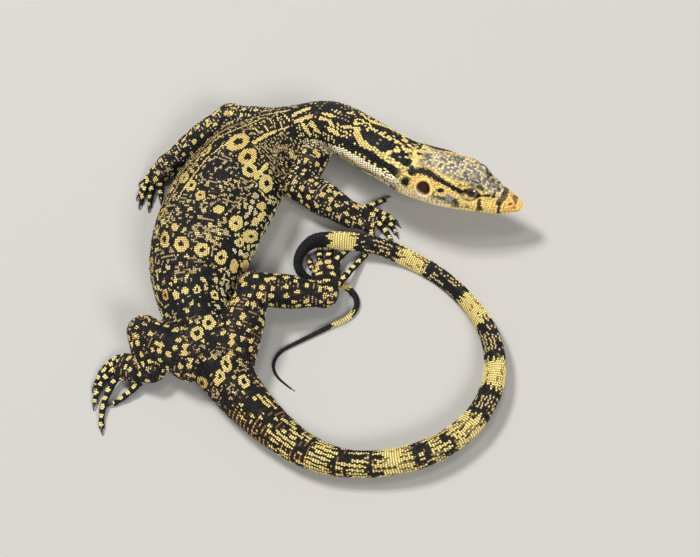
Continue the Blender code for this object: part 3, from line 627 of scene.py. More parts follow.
def trunk_field(points, reach):
    """Signed distance, to first order, from the trunk between two stations."""
    stations = np.arange(reach[0], reach[1] + 1.0)
    centres = read_table(BODY_TABLE, stations)[:, :3]
    squared = (points**2).sum(1)[:, None] - 2 * points @ centres.T + (centres**2).sum(1)
    station = stations[squared.argmin(axis=1)]
    row = read_table(BODY_TABLE, station)
    along = np.cross(row[:, 3:6], row[:, 6:9])
    station = station - dot(points - row[:, :3], along)
    row = read_table(BODY_TABLE, station)
    away = points - row[:, :3]
    out, high = dot(away, row[:, 3:6]), dot(away, row[:, 6:9])
    power = np.where(high < 0, row[:, 11], 2.0)
    level = (np.abs(out / row[:, 9]) ** power + np.abs(high / row[:, 10]) ** power) ** (1 / power)
    return (level - 1) * np.hypot(out, high) / np.maximum(level, 1e-6)


def flow_together(points, normals, own, other, blend):
    """Moves points outward along their normals until they lie on the rounded union of two bodies."""
    beyond = other(points)
    near = np.abs(beyond) < blend
    if not near.any():
        return points
    moved, push = points[near], normals[near]
    weight = np.clip(1 + beyond[near] / 0.9, 0, 1)
    for _ in range(FLOW_STEPS):
        field = soft_minimum(own(moved), other(moved), blend)
        moved = moved - push * (np.minimum(field, 0) * weight)[:, None]
    result = points.copy()
    result[near] = moved
    return result


def shifted(field, setting):
    """A signed distance from the skin, which lies SKIN_DEPTH inside."""
    return lambda points: field(points, setting) + SKIN_DEPTH


# How far along a normal is read, how much painted shade darkens the skin in the grooves between its
# scales, and how deep inside another body a scale has to lie to be left out.
NORMAL_STEP = 0.02
GROOVE_PAINTED_SHADE = 0.22
BURIED_DEPTH = 0.02


class Surface:
    """A closed surface over u, a length along it, and v, an angle round it in degrees. Each kind gives its
    base, rings, markings and the bodies that it meets. A limb's kinds also give the size that spaces their
    rows, and how high their scales are for one of the trunk's."""

    def relief(self, u, v):
        """How far the skin stands out from the base."""
        return np.zeros_like(u)

    def groove(self, u, v):
        """How much painted shade darkens the skin in the grooves between its scales."""
        return np.full(len(u), GROOVE_PAINTED_SHADE)

    def at(self, u, v):
        """Places of the skin: the base drawn in by the depth of the scales, joined and given relief."""
        here = self.base(u, v)
        ahead = self.base(u + NORMAL_STEP, v) - here
        round_it = self.base(u, v + NORMAL_STEP * 10) - here
        normal = unit(np.cross(round_it, ahead))
        points = here - normal * SKIN_DEPTH
        for own, other, blend in self.others():
            points = flow_together(points, normal, own, other, blend)
        points = points + normal * self.relief(u, v)[:, None]
        points[:, 2] = np.maximum(points[:, 2], FLOOR_CLEARANCE)
        return points

    def buried(self, u, v):
        """Whether a place lies inside a body that this one meets."""
        here = self.base(u, v)
        return np.any([other(here) < -BURIED_DEPTH for _, other, _ in self.others()], axis=0)


class Body(Surface):
    """Head, neck, trunk and tail in one."""

    sides = 132

    def rings(self):
        """Close on the face, wider along the trunk and tail."""
        snout = SNOUT_ROUND * (1 - np.cos(np.linspace(0.06, math.pi / 2, 14)))
        steps = ((3.45, 42, 0.24), (42, 210, 0.85), (210, BODY_LENGTH, 0.9))
        return np.concatenate([snout] + [np.arange(*step) for step in steps] + [[BODY_LENGTH]])

    def base(self, u, v):
        return bent(*straight_body(np.clip(u, 0, BODY_LENGTH), wrapped(v)))

    def relief(self, u, v):
        angle = wrapped(v)
        return body_relief(u, angle, *straight_body(u, angle)[1:])

    def groove(self, u, v):
        """Less painted shade on the head, and least where the skin is bare: between the lids, in the ear
        and in the nostril.
        """
        at, out, high = straight_body(np.minimum(u, 60), wrapped(v))
        bare = smooth(2.0, 1.8, eye_offsets(at, out, high)[2]) + (oval(at, high, EAR_AT, EAR_SIZE) < 1.3)
        bare = bare + (oval(at, high, NOSTRIL_AT, NOSTRIL_SIZE) < 1.7)
        return GROOVE_PAINTED_SHADE + (0.4 + 0.55 * np.minimum(bare, 1)) * smooth(44, 36, u)

    def markings(self, u, v, row, paint):
        return body_markings(u, v, row, paint)

    def others(self):
        found = []
        for name, bones in BONES.items():
            reach = LIMB_STATIONS[name.split("_")[0]]
            found.append((shifted(trunk_field, reach), shifted(limb_field, bones), ROOT_BLEND))
        return found


# Each length of limb and each toe has its own pattern, from a seed that counts up leg by leg.
BONE_SEED = 200
TOE_SEED = 300
SEEDS_A_LIMB = 20
HIND_LEG_SEEDS = BONE_SEED + 2 * SEEDS_A_LIMB
# Millimetres for one degree round a leg, as its markings are laid on the skin, and round a toe.
LEG_ARM = 0.1
TOE_ARM = 0.02


class Bone(Surface):
    """One length of a limb with a half ball at each end."""

    sides = 48
    row_size = "limb_row"
    scale_rise = 0.85

    def __init__(self, limb, number):
        kind, side = limb.split("_")
        self.number = number
        self.bones = BONES[limb]
        self.bone = self.bones[number]
        self.reach = LIMB_STATIONS[kind]
        self.coat = f"{LIMB_NODES[kind][number]}_{side}_scales"
        self.seed = BONE_SEED + SEEDS_A_LIMB * list(LIMBS).index(limb) + number
        first, waist, last = self.bone[5]
        self.arm = math.radians(waist)
        self.first, self.last = first * math.pi / 2, last * math.pi / 2
        self.total = self.first + self.bone[4] + self.last

    def rings(self):
        return np.linspace(0.12, self.total - 0.12, int(self.total / 0.8))

    def base(self, u, v):
        start, along, side, up, run, radii, widths = self.bone
        opening = np.clip(u / radii[0], 0, math.pi / 2)
        closing = np.clip((u - self.first - run) / radii[2], 0, math.pi / 2)
        place = -radii[0] * np.cos(opening) + np.clip(u - self.first, 0, run) + radii[2] * np.sin(closing)
        share = np.clip((u - self.first) / run, 0, 1)
        radius = limb_radius(radii, share) * np.sin(opening) * np.cos(closing)
        wide = radius * (widths[0] + (widths[1] - widths[0]) * share)
        angle = np.radians(v)
        across = (wide * np.cos(angle))[:, None] * side + (radius * np.sin(angle))[:, None] * up
        return start + place[:, None] * along + across

    def markings(self, u, v, row, paint, arm=LEG_ARM):
        return limb_markings(u, (v - 90) * arm, row, self.seed, paint)

    def others(self):
        own = shifted(bone_field, self.bone)
        beside = [bone for k, bone in enumerate(self.bones) if abs(k - self.number) == 1]
        found = [(own, shifted(bone_field, bone), JOINT_BLEND) for bone in beside]
        if self.bone is not self.bones[-1]:
            found.append((own, shifted(trunk_field, self.reach), ROOT_BLEND))
        return found


def far_away(points):
    """A distance that leaves a toe as it is where it meets its foot."""
    return np.full(len(points), 5.0)


class Toe(Surface):
    """A toe that turns and tapers, with a swelling at each joint and a round end."""

    sides = 18
    row_size = "toe_row"
    scale_rise = 0.62
    arm = TOE_ARM

    def __init__(self, limb, number):
        kind, side = limb.split("_")
        self.row = TOES[limb][number]
        self.radii = TOE_RADII[kind]
        self.run = self.row[4]
        self.total = self.run + self.radii[1] * TOE_END
        self.foot = BONES[limb][-1]
        self.coat = f"{limb}_toe_{side}_{number + 1}_scales"
        self.seed = TOE_SEED + SEEDS_A_LIMB * list(LIMBS).index(limb) + number

    def rings(self):
        return np.concatenate([np.arange(0.1, self.run, 0.55), np.linspace(self.run, self.total - 0.04, 4)])

    def centre(self, share):
        """The middle of the toe and its heading: an arc in plan that comes to the floor in a low arch."""
        x, y, z, heading, run, turn = self.row
        heading, turn = math.radians(heading), math.radians(turn)
        x = x + run * (np.sin(heading + turn * share) - math.sin(heading)) / turn
        y = y - run * (np.cos(heading + turn * share) - math.cos(heading)) / turn
        along = np.clip(share, 0, 1)
        rest = self.radii[1] - SINK
        z = z + (rest - z) * (1 - (1 - along) ** 1.6) + TOE_ARCH * 4 * along * (1 - along)
        return np.stack([x, y, z], axis=1) - MIDDLE, heading + turn * share

    def base(self, u, v):
        share = u / self.run
        place, heading = self.centre(share)
        over = np.clip((u - self.run) / (self.radii[1] * TOE_END), 0, 1)
        along = np.clip(share, 0, 1)
        radius = self.radii[0] + (self.radii[1] - self.radii[0]) * along
        radius = radius * (1 + KNUCKLE_SWELL * np.cos(2 * math.pi * along * KNUCKLES))
        radius = radius * np.sqrt(np.maximum(1 - over**2, 0)) * smooth(-0.02, 0.02, u)
        angle = np.radians(v)
        side = np.stack([-np.sin(heading), np.cos(heading), np.zeros_like(heading)], axis=1)
        rise = (radius * np.sin(angle))[:, None] * np.array((0, 0, 1.0))
        return place + (radius * np.cos(angle))[:, None] * side + rise

    def markings(self, u, v, row, paint, arm=TOE_ARM):
        return toe_markings(u, (v - 90) * arm, self.seed, paint)

    def others(self):
        return [(far_away, lambda points: bone_field(points, self.foot) + SKIN_DEPTH * 2, 0.01)]


def limb_surfaces(limb):
    """The lengths of a limb and its toes."""
    bones = [Bone(limb, number) for number in range(len(BONES[limb]))]
    return bones + [Toe(limb, number) for number in range(len(TOES[limb]))]


# Large odd numbers that scatter the bits of a place and a seed, and the bits that are kept.
SCATTER = (374761393, 668265263, 974634777, 1274126177)
KEPT_BITS = 0xFFFFFFFF
FRACTION_BITS = 0xFFFFFF


def lattice(x, y, seed):
    """A repeatable number between 0 and 1 for each pair of whole numbers."""
    bits = x.astype(np.int64) * SCATTER[0] + y.astype(np.int64) * SCATTER[1] + seed * SCATTER[2]
    bits = bits & KEPT_BITS
    bits = ((bits ^ (bits >> 13)) * SCATTER[3]) & KEPT_BITS
    return ((bits ^ (bits >> 16)) & FRACTION_BITS) / float(FRACTION_BITS + 1)


def noise(x, y, seed):
    """Smooth noise between 0 and 1: lattice values blended across each square. Each pattern has a seed of
    its own, as have cells and chance."""
    left, low = np.floor(x), np.floor(y)
    across, rise = smooth(0, 1, x - left), smooth(0, 1, y - low)
    near, far = (
        lattice(left + i, low, seed) * (1 - rise) + lattice(left + i, low + 1, seed) * rise for i in (0, 1)
    )
    return near * (1 - across) + far * across


def cells(x, y, seed, jitter=0.75):
    """Scattered centres, one in each unit square: distance to the nearest, to the next, and its number."""
    left, low = np.floor(x), np.floor(y)
    nearest, following = np.full(len(x), 9.0), np.full(len(x), 9.0)
    number = np.zeros(len(x))
    for i in (-1, 0, 1):
        for j in (-1, 0, 1):
            a, b = left + i, low + j
            dx = a + 0.5 + (lattice(a, b, seed) - 0.5) * jitter - x
            dy = b + 0.5 + (lattice(a, b, seed + 1) - 0.5) * jitter - y
            far = np.hypot(dx, dy)
            closer = far < nearest
            following = np.where(closer, nearest, np.minimum(following, far))
            number = np.where(closer, lattice(a, b, seed + 2), number)
            nearest = np.where(closer, far, nearest)
    return nearest, following, number


def mixed(base, over, share):
    """The base colour with another laid over it by a share for each place."""
    share = np.clip(share, 0, 1)[:, None]
    return base * (1 - share) + np.asarray(over) * share


# The distance between two scales that the markings go by.
SCALE_PITCH = 0.68


def section_arm(station):
    """Millimetres round the body for one degree."""
    row = read_table(BODY_TABLE, station)
    return (row[:, 9] + row[:, 10]) / 2 * math.pi / 180


def oval_level(station, angle, arm, mark):
    """1 on the edge of an oval on the skin and less inside it."""
    at, turn, long, wide, lean = mark[:5]
    along, across = station - at, (angle - turn) * arm
    cos, sin = math.cos(math.radians(lean)), math.sin(math.radians(lean))
    return np.hypot((along * cos + across * sin) / long, (across * cos - along * sin) / wide)


def stroke_gap(station, angle, arm, places):
    """Distance from a line of straight strokes on the skin, in millimetres."""
    gap = np.full(len(station), 99.0)
    for (s0, a0), (s1, a1) in zip(places[:-1], places[1:]):
        along, across = s1 - s0, (a1 - a0) * arm
        x, y = station - s0, (angle - a0) * arm
        share = np.clip((x * along + y * across) / (along**2 + across**2), 0, 1)
        gap = np.minimum(gap, np.hypot(x - share * along, y - share * across))
    return gap


def chance(station, arc, seed, pitch=SCALE_PITCH):
    """A number between 0 and 1 that changes from scale to scale."""
    return lattice(np.floor(station / pitch), np.floor(arc / pitch), seed)


def black_with_painted_sheen(lone, paint):
    """Black that varies from scale to scale, its brightest scales slate grey as a painted highlight of
    sheen.
    """
    return paint["black"] * (0.6 + 1.5 * lone**3)[:, None]


def trunk_ground(station, angle, arc, row, paint):
    """Black ground with a tan net, fine spots and dashes along every second row of scales."""
    front = between(station, 94, 104, 124, 134) * hump(angle, 48, 26)
    rear = smooth(150, 176, station)
    hips = smooth(182, 198, station)
    lone = chance(station, arc, 31)
    even = row % 2 == 0
    nearest, following, _ = cells(station / 3.0, arc / 2.7, 41)
    patchy = noise(station / 3, arc / 3, 43) > 0.52 + 0.12 * rear + 0.1 * hips
    net = (following - nearest < 0.15) & patchy & (lone < 0.8)
    dash = (noise(row * 7.13, arc / 1.0, 33) > 0.66) & even & (noise(station / 5, arc / 5, 35) > 0.44)
    small, _, own = cells(station / 2.1, arc / 1.9, 37, 0.9)
    blob = (small < 0.16 + 0.16 * own) & (own > 0.3 + 0.2 * rear + 0.28 * hips)
    dotted = (front > 0.35) & even & (np.floor(arc / 0.7) % 2 == 0) & (lone < 0.85)
    tan = mixed(paint["tan"], paint["yellow"], 0.35 * lone * (1 - 0.4 * rear) + 0.5 * own * blob)
    tan = mixed(tan, paint["brown"], rear * noise(station / 4, arc / 4, 39) * 1.6 * dash)
    tan = tan * (0.7 + 0.4 * noise(station / 2.5, arc / 2.5, 40))[:, None]
    return mixed(black_with_painted_sheen(lone, paint), tan, (net | dash | blob | dotted) * 0.95)


def trunk_markings(station, angle, row, paint):
    """Colours of the neck and trunk: rings, spots and strokes over a fine ground, pale patches on the
    flanks, and a cream belly with dark bars."""
    arm = section_arm(station)
    arc = (angle - 90) * arm
    lone = chance(station, arc, 45)
    ragged = 0.25 * (noise(station / 0.9, arc / 0.9, 47) - 0.5)
    result = trunk_ground(station, angle, arc, row, paint)
    # Small round spots.
    nearest, _, number = cells(station / 4.2, arc / 3.6, 49)
    spots = 0.6 - 0.3 * smooth(182, 198, station)
    spot = (nearest < np.where(number < spots, 0.13 + 0.14 * number, 0)) & (station > 132)
    # Pale patches parted by black on the flanks.
    near, far, own = cells(station / 3.8 + 0.5 * noise(station / 2, arc / 2, 51), arc / 2.9, 53)
    flank = np.maximum(smooth(54, 26, angle), smooth(140, 158, angle) * 0.7)
    flank = flank * between(station, 118, 130, 186, 198)
    patch = (far - near > 0.19 + 0.17 * lone) & (own < 0.3 + 0.65 * flank)
    result = np.where((flank > 0.35)[:, None], black_with_painted_sheen(lone, paint), result)
    creamy = mixed(paint["yellow"], paint["cream"], 0.35 + 0.5 * own) * (0.66 + 0.34 * own)[:, None]
    result = mixed(result, creamy, patch & (flank > 0.35))
    result = mixed(result, paint["yellow"] * 0.95, spot)
    # The neck, and then the rings and strokes, each with a plain black border.
    neck = (1 - smooth(84, 96, station)) > noise(station / 2, arc / 2, 55)
    if neck.any():
        result = np.where(neck[:, None], neck_markings(station, angle, arm, row, paint), result)
    border = np.full(len(station), 9.0)
    light = np.zeros(len(station), bool)
    tone = np.zeros(len(station))
    folded = np.where(station < 66, mirrored(angle), angle)
    for mark in RINGS:
        level = oval_level(station, angle, arm, mark) * (1 + ragged * 0.5)
        light |= (level < 1) & (level > mark[5])
        tone = np.where(level < 1.1, mark[6], tone)
        border = np.minimum(border, (level - 1) * min(mark[2], mark[3]))
        border = np.where(level < mark[5], 0.1, border)
    for half, golden, places in STROKES:
        gap = stroke_gap(station, folded, arm, places) + ragged - half
        light |= gap < 0
        tone = np.where(gap < 0.1, golden, tone)
        border = np.minimum(border, np.where(half > 0.5, gap, gap + 0.3))
    result = mixed(result, paint["black"], inside(border, 0, 0.75))
    side = smooth(112, 132, angle) * (station > 90)
    warm = np.clip(0.55 * tone + 0.45 * side + 0.5 * (noise(station / 1.5, arc / 1.5, 57) - 0.5), 0, 1)
    warm = mixed(paint["yellow"], paint["gold"], warm)
    result = np.where(light[:, None], warm * ((0.86 + 0.26 * lone) * (1 - 0.3 * side))[:, None], result)
    for half, places in DARK_STROKES:
        dark = (stroke_gap(station, folded, arm, places) + 2 * ragged < half) & (lone > 0.08)
        result = mixed(result, paint["black"], dark)
    under = np.maximum(smooth(-16, -28, angle), smooth(204, 216, angle))
    bars = noise(station / 2.4, arc / 6, 71) > 0.62
    belly = mixed(paint["cream"], paint["black"], bars * 0.85)
    return mixed(result, belly, under > noise(station / 1.5, arc / 1.5, 73))


# How far up the neck the throat's colour reaches, as station and angle.
THROAT_EDGE = ((36, 2), (42, 12), (47, 15), (60, 15), (66, 8), (72, 2), (84, 12), (96, 2))


def neck_markings(station, angle, arm, row, paint):
    """Ground of the neck: dotted rows on black, tan folds before the arm, and a cream throat."""
    arc = (angle - 90) * arm
    folded = mirrored(angle)
    lone = chance(station, arc, 81, 0.8)
    even = row % 2 == 0
    column = np.floor(arc / 0.8) % 2
    middle = (folded > 78) & (station < 60) & (lone < 0.7)
    nape = (folded > 46) & (station < 41.5) & (lone < 0.75)
    side = inside(folded, 36, 62) & inside(station, 56, 68) & (column == 0) & (lone < 0.85)
    patchy = noise(station / 4, arc / 3, 83) > 0.62
    shoulder = (folded > 14) & (station > 68) & even & patchy & (lone < 0.7)
    beside = inside(folded, 12, 30) & (station > 40) & even & (lone < 0.6)
    fine = (folded > 20) & even & (column == 1) & (lone < 0.45) & (station < 90)
    result = mixed(black_with_painted_sheen(lone, paint), paint["tan"], fine * 0.7)
    pale = mixed(paint["yellow"], paint["gold"], 0.5 * lone)
    result = mixed(result, pale, (middle | nape | side | shoulder | beside) * 0.95)
    edge = read_rows(THROAT_EDGE, station)
    fold = (folded < edge + 2 * lone) & (station > 66)
    tan = mixed(paint["tan"], paint["cream"], 0.3 + 0.6 * lone)
    result = mixed(result, tan, fold & (even | (lone < 0.6)))
    result = mixed(result, paint["cream"] * 1.2, (folded < edge) & (station < 68))
    rim = hump(folded, edge - 30, 11) * (station < 92)
    result = mixed(result, paint["gold"] * 0.62, rim * (0.6 + 0.5 * lone))
    dash = (noise(station / 2.2, arc / 0.7, 87) > 0.8) & (folded < edge - 4) & (folded > -50)
    return mixed(result, paint["black"], dash * 0.85)


def tail_markings(station, angle, row, paint):
    """Colours of the tail: yellow bars side by side in blocks near the root, whole bands further on,
    the dark ones with dashes along their middle."""
    arc = (angle - 90) * section_arm(station)
    starts, shares, browns = np.array(TAIL_BANDS, float).T
    lone = chance(station, arc, 91)
    even = row % 2 == 0
    ragged = station + (noise(arc / 0.9, station * 0, 93) - 0.5) * np.where(station < 300, 2.6, 1.9)
    index = np.clip(np.searchsorted(starts, ragged, side="right") - 1, 0, len(starts) - 1)
    share, brown = shares[index], browns[index]
    ends = np.append(starts[1:], BODY_LENGTH)
    depth = np.minimum(ragged - starts[index], ends[index] - ragged)
    hatch = even & (noise(row * 5.1, arc / 1.6, 95) > 0.78 - 0.45 * brown) & (station < 292)
    result = mixed(black_with_painted_sheen(lone, paint), paint["brown"], hatch * 0.75)
    file = np.floor(arc / 0.62)
    outer = (station < 262) & (angle > 104) & even & (file % 2 == 0) & (lone < 0.75)
    result = mixed(result, paint["gold"], outer * 0.75)
    # Bars along the tail, a scale or two wide, with a black line between them.
    column = arc / 1.62 + 0.25 * noise(station / 7, arc / 4, 97)
    within = np.abs(column - np.round(column)) * 2
    bar = lattice(np.round(column), index.astype(float), 99)
    small = lattice(np.round(column), np.floor(station / 2.1), 100)
    most = (within < share * 0.96) & (bar < share + 0.12)
    blocks = np.where(share > 0.6, most, (within < 0.6) & (small < share))
    blocks |= (share > 0.85) & (lone < 0.9) & (within < 0.9)
    blocks &= (station > 232) | (angle < 98 + 12 * noise(station / 2, station * 0, 96)) | (lone < 0.3)
    # Whole bands, with dark streaks one scale wide in the yellow and pale ones in the black.
    specks = noise(station / 2.0, arc / 0.6, 101)
    streak = noise(station / 2.4, file * 7.13, 102)
    dashes = (depth > 2.0) & (station < 404) & (file % 2 == 0) & (streak > 0.42) & (lone < 0.92)
    whole = np.where(share > 0.5, specks > 0.06 + 0.34 * smooth(2.4, 0.6, depth), dashes)
    light = np.where(station < 296, blocks, whole)
    tone = mixed(paint["tail_yellow"], paint["gold"], 0.35 * noise(station / 3, arc / 3, 103))
    tone = mixed(tone, paint["tan"], 0.55 * (dashes & (share < 0.5) & (station > 296)))
    thin = (file % 2 == 1) & (streak > 0.74 - 0.2 * smooth(4, 1, depth))
    tone = mixed(tone, paint["brown"] * 0.6, 0.85 * (thin & (share > 0.5) & inside(station, 268, 396)))
    result = np.where(light[:, None], tone * (0.88 + 0.22 * lone)[:, None], result)
    under = np.maximum(smooth(-20, -40, angle), smooth(200, 220, angle)) * (station < 305)
    belly = mixed(paint["cream"], paint["black"], (share < 0.3) * 0.8)
    return mixed(result, belly, under > noise(station / 1.5, arc / 1.5, 105))


# Marks of the head's sides as ovals: station, height, half length, half height, colour and its strength.
CHEEK_MARKS = (
    (23.4, 0.4, 2.6, 1.9, "head_grey", 0.85), (26.5, 3.1, 1.5, 0.9, "black", 1.0),
    (26.2, 0.0, 1.9, 0.7, "black", 0.95), (20.8, 0.3, 1.0, 1.4, "black", 0.85),
    (20.6, -0.9, 1.6, 0.6, "black", 0.85), (37.8, 1.8, 1.6, 1.9, "black", 1.0),
    (36.9, 5.6, 1.6, 1.3, "black", 1.0), (28.2, -0.4, 0.45, 2.4, "black", 0.85),
    (23.6, -1.3, 1.5, 0.5, "black", 0.6),
)
# Black lines of the head's sides: half width, places as station and height, and strength.
CHEEK_LINES = (
    (0.62, ((38, 5.6), (35.5, 6.2), (31.5, 6.5), (27, 6.0), (23.5, 5.4), (20.4, 4.6)), 1.0),
    (0.72, ((23.2, 5.2), (21.2, 4.5), (20.0, 4.0)), 1.0),
    (0.4, ((14.9, 3.4), (13.5, 3.6), (11.4, 4.0), (9.8, 4.0)), 1.0),
    (0.17, ((21, 6.5), (18, 7.0), (15.4, 6.6), (13, 5.2)), 0.8),
    (0.36, ((21.6, -2.6), (19, -2.1), (16.5, -1.3)), 0.7),
    (0.62, ((13.6, 1.9), (13.2, 0.2), (13, -1.9)), 0.95), (0.5, ((13, -2.2), (13.2, -3.8)), 0.8),
    (1.0, ((6.5, 6), (6.9, 3.6), (7.6, 2.0)), 0.85), (0.42, ((7.6, 2.2), (7.1, 0), (6.9, -3.4)), 0.95),
    (0.22, ((4.2, 3.6), (2.6, 2.4), (2.3, 1.3), (3.1, 0.6)), 0.8),
)


# Yellow spots of the crown: station, distance out and radius. Then the line under which the cheeks begin,
# as station and height.
CROWN_SPOTS = (
    (27.3, 0.0, 0.8), (25.6, -1.2, 0.6), (30.4, 0.9, 0.7), (22, 2.4, 0.6), (22, -2.4, 0.6),
    (28.5, -3.4, 0.6), (28.5, 3.4, 0.6),
)
BROW_LINE = (
    (0, 2.9), (6, 3.7), (10.5, 4.3), (13, 4.9), (16, 6.4), (20, 7.3), (26, 7.3), (32, 7.2), (36, 7.0),
    (44, 6.6),
)
# Linear colours that no picker gives: painted shade inside the nostril and its rim's own colour, painted
# shade in the gap of the mouth, the pupil and the dark edge of the iris.
NOSTRIL_PAINTED_SHADE = (0.05, 0.012, 0.008)
NOSTRIL_RIM = (0.55, 0.15, 0.06)
MOUTH_GAP_PAINTED_SHADE = (0.05, 0.028, 0.018)
PUPIL = (0.002, 0.002, 0.002)
IRIS_EDGE = (0.01, 0.006, 0.005)


def head_markings(station, out, high, paint):
    """Colours of the head: plates of the crown grey with fine yellow lines, a black stripe through each
    eye under a yellow brow, yellow cheeks and lips with dark bars, and a cream throat."""
    side = np.abs(out)
    rough = noise(station / 0.9, high / 0.9 + out / 0.9, 111)
    lone = chance(station, high + out, 112, 0.8)
    yellow = mixed(paint["head_yellow"], paint["yellow"], 0.8 * noise(station / 4, high / 3, 110))
    warm = smooth(9, 5, station) * 0.7 + 0.45 * between(station, 25, 30, 34, 38)
    yellow = mixed(yellow, paint["gold"], warm)
    # Each scale a little lighter or darker, and painted brighter towards the lips, as light on lips that
    # face down.
    yellow = yellow * ((0.88 + 0.2 * lone) * (1 + 0.14 * smooth(3.2, 1.4, high)))[:, None]
    # The crown.
    nearest, following, number = cells(station / 1.7 + 0.5 * rough, out / 1.5 + 0.3 * rough, 113, 0.95)
    dark = noise(station / 3.6, out / 3.2, 114)
    grey = paint["head_grey"] * (0.16 + 0.42 * number + 0.45 * smooth(0.6, 0.3, dark))[:, None]
    lines = smooth(0.38, 0.12, following - nearest) * (0.45 + 0.55 * smooth(0.7, 0.4, dark))
    net = paint["head_yellow"] * 0.4 + paint["cream"] * 0.6
    crown = mixed(grey, net * 0.8, lines)
    for at, across, radius in CROWN_SPOTS:
        level = np.hypot(station - at, out - across) / radius
        crown = mixed(crown, paint["yellow"], smooth(1.15, 0.75, level) * 0.9)
    above = high - read_rows(BROW_LINE, station) + (rough - 0.5) * 0.5
    result = mixed(yellow, crown, smooth(-0.25, 0.45, above))
    # The lower lid is yellow, painted brighter still as light against the shade it lies in, with a fine
    # crease under the eye painted dark as its shade.
    away, _, lens = eye_offsets(station, out, high)
    under_eye = (side > 2) * (away[:, 2] < 0.4)
    result = mixed(result, yellow * 1.2, hump(lens, 1.45, 0.42) * under_eye * 0.9)
    result = mixed(result, paint["black"], hump(lens, 1.72, 0.09) * (side > 2) * (away[:, 2] < -0.5) * 0.6)
    # Lines and ovals of the sides; only those of the snout run over its top.
    flank = smooth(2.6, 3.8, side + 9 * (station < 10.5))
    for half, places, strength in CHEEK_LINES:
        gap = stroke_gap(station, high, 1.0, places) + (rough - 0.5) * 0.35
        result = mixed(result, paint["black"], smooth(half + 0.22, half - 0.12, gap) * strength * flank)
    for at, level, long, tall, tone, strength in CHEEK_MARKS:
        within = np.hypot((station - at) / long, (high - level) / tall) + (rough - 0.5) * 0.5
        result = mixed(result, paint[tone], smooth(1.15, 0.8, within) * strength)
    nostril = oval(station, high, NOSTRIL_AT, NOSTRIL_SIZE)
    result = mixed(result, NOSTRIL_RIM, hump(nostril, 0.6, 0.9) * (side > 1.5) * 0.7)
    # Painted shade inside the nostril.
    result = mixed(result, NOSTRIL_PAINTED_SHADE, smooth(0.8, 0.4, nostril) * (side > 1.5))
    # Lower jaw and throat.
    jaw = (paint["cream"] * 0.72 + paint["gold"] * 0.28) * 1.08
    pale = smooth(20, 26, station) * smooth(0.8, -2.0, high)
    result = mixed(result, jaw, pale * (0.55 + 0.3 * rough))
    lip = above_mouth(station, high)
    result = mixed(result, jaw, smooth(-1.0, -2.4, lip) * 0.85)
    # Painted shade in the gap of the mouth.
    result = mixed(result, MOUTH_GAP_PAINTED_SHADE, hump(lip, -0.05, 0.17) * (station < MOUTH_CORNER) * 0.9)
    # The ear, the black edge of the eye, and painted shade in its corners, where the wall inside the lids
    # shows.
    ear = oval(station, high, EAR_AT, EAR_SIZE)
    rim = mixed(yellow, paint["cream"], smooth(2.5, -1.0, high) * 0.9)
    result = mixed(result, rim * 1.05, hump(ear, 1.2, 0.16))
    result = mixed(result, paint["ear"], smooth(1.04, 0.9, ear))
    corners = smooth(1.3, 1.1, lens) * smooth(1.0, 1.5, np.abs(away[:, 0])) * smooth(-1.4, -0.8, away[:, 2])
    return mixed(result, paint["black"], np.maximum(hump(lens, 1.0, 0.2), corners))


# Where the head's colours end at the latest, and where the tail's begin.
HEAD_END = 48
TAIL_START = 217


def body_markings(station, angle, row, paint):
    """Colours of any place on head, neck, trunk and tail."""
    angle = wrapped(angle)
    result = trunk_markings(station, angle, row, paint)
    tail = station > TAIL_START
    if tail.any():
        result[tail] = tail_markings(station[tail], angle[tail], row[tail], paint)
    head = station < HEAD_END
    if head.any():
        at, out, high = straight_body(station[head], angle[head])
        back = smooth(50, 25, np.abs(angle[head] - 90))
        share = smooth(42, 38, at + 4.5 * back + 2 * noise(angle[head] / 10, at / 2, 131) - 1)
        result[head] = mixed(result[head], head_markings(at, out, high, paint), share)
    return result


def limb_markings(along, around, row, seed, paint):
    """Colours of a leg: round yellow spots on black, with fine tan and brown dots along its rows."""
    fore = seed < HIND_LEG_SEEDS
    bare, fade = (0.34, 0.8) if fore else (0.55, 1.3)
    dark, pale = ("tan", "cream") if fore else ("brown", "tan")
    lone = chance(along, around, seed, 0.66)
    dots = (row % 2 == 0) & (noise(along / 3.3, around / 2.6, seed + 1) > bare) & (lone < 0.62)
    result = mixed(black_with_painted_sheen(lone, paint), mixed(paint[dark], paint[pale], lone * fade), dots * 0.9)
    nearest, _, number = cells(along / 3.7, around / 3.5, seed + 3, 0.6)
    result = mixed(result, paint["black"], nearest < 0.4)
    tone = mixed(paint["yellow"], paint["gold"], 0.5 * number)
    spot = nearest < np.where(number < 0.9, 0.22 + 0.1 * number, 0)
    return np.where(spot[:, None], tone * (0.85 + 0.25 * lone)[:, None], result)


TOE_SPOT_PITCH = 3.1


def toe_markings(along, around, seed, paint):
    """Colours of a toe: yellow spots across black, one at each joint."""
    place = along / TOE_SPOT_PITCH + seed * 0.37
    off = (place - np.floor(place) - 0.5) * TOE_SPOT_PITCH
    return mixed(paint["black"], paint["yellow"], np.hypot(off / 0.85, around / 1.1) < 1)


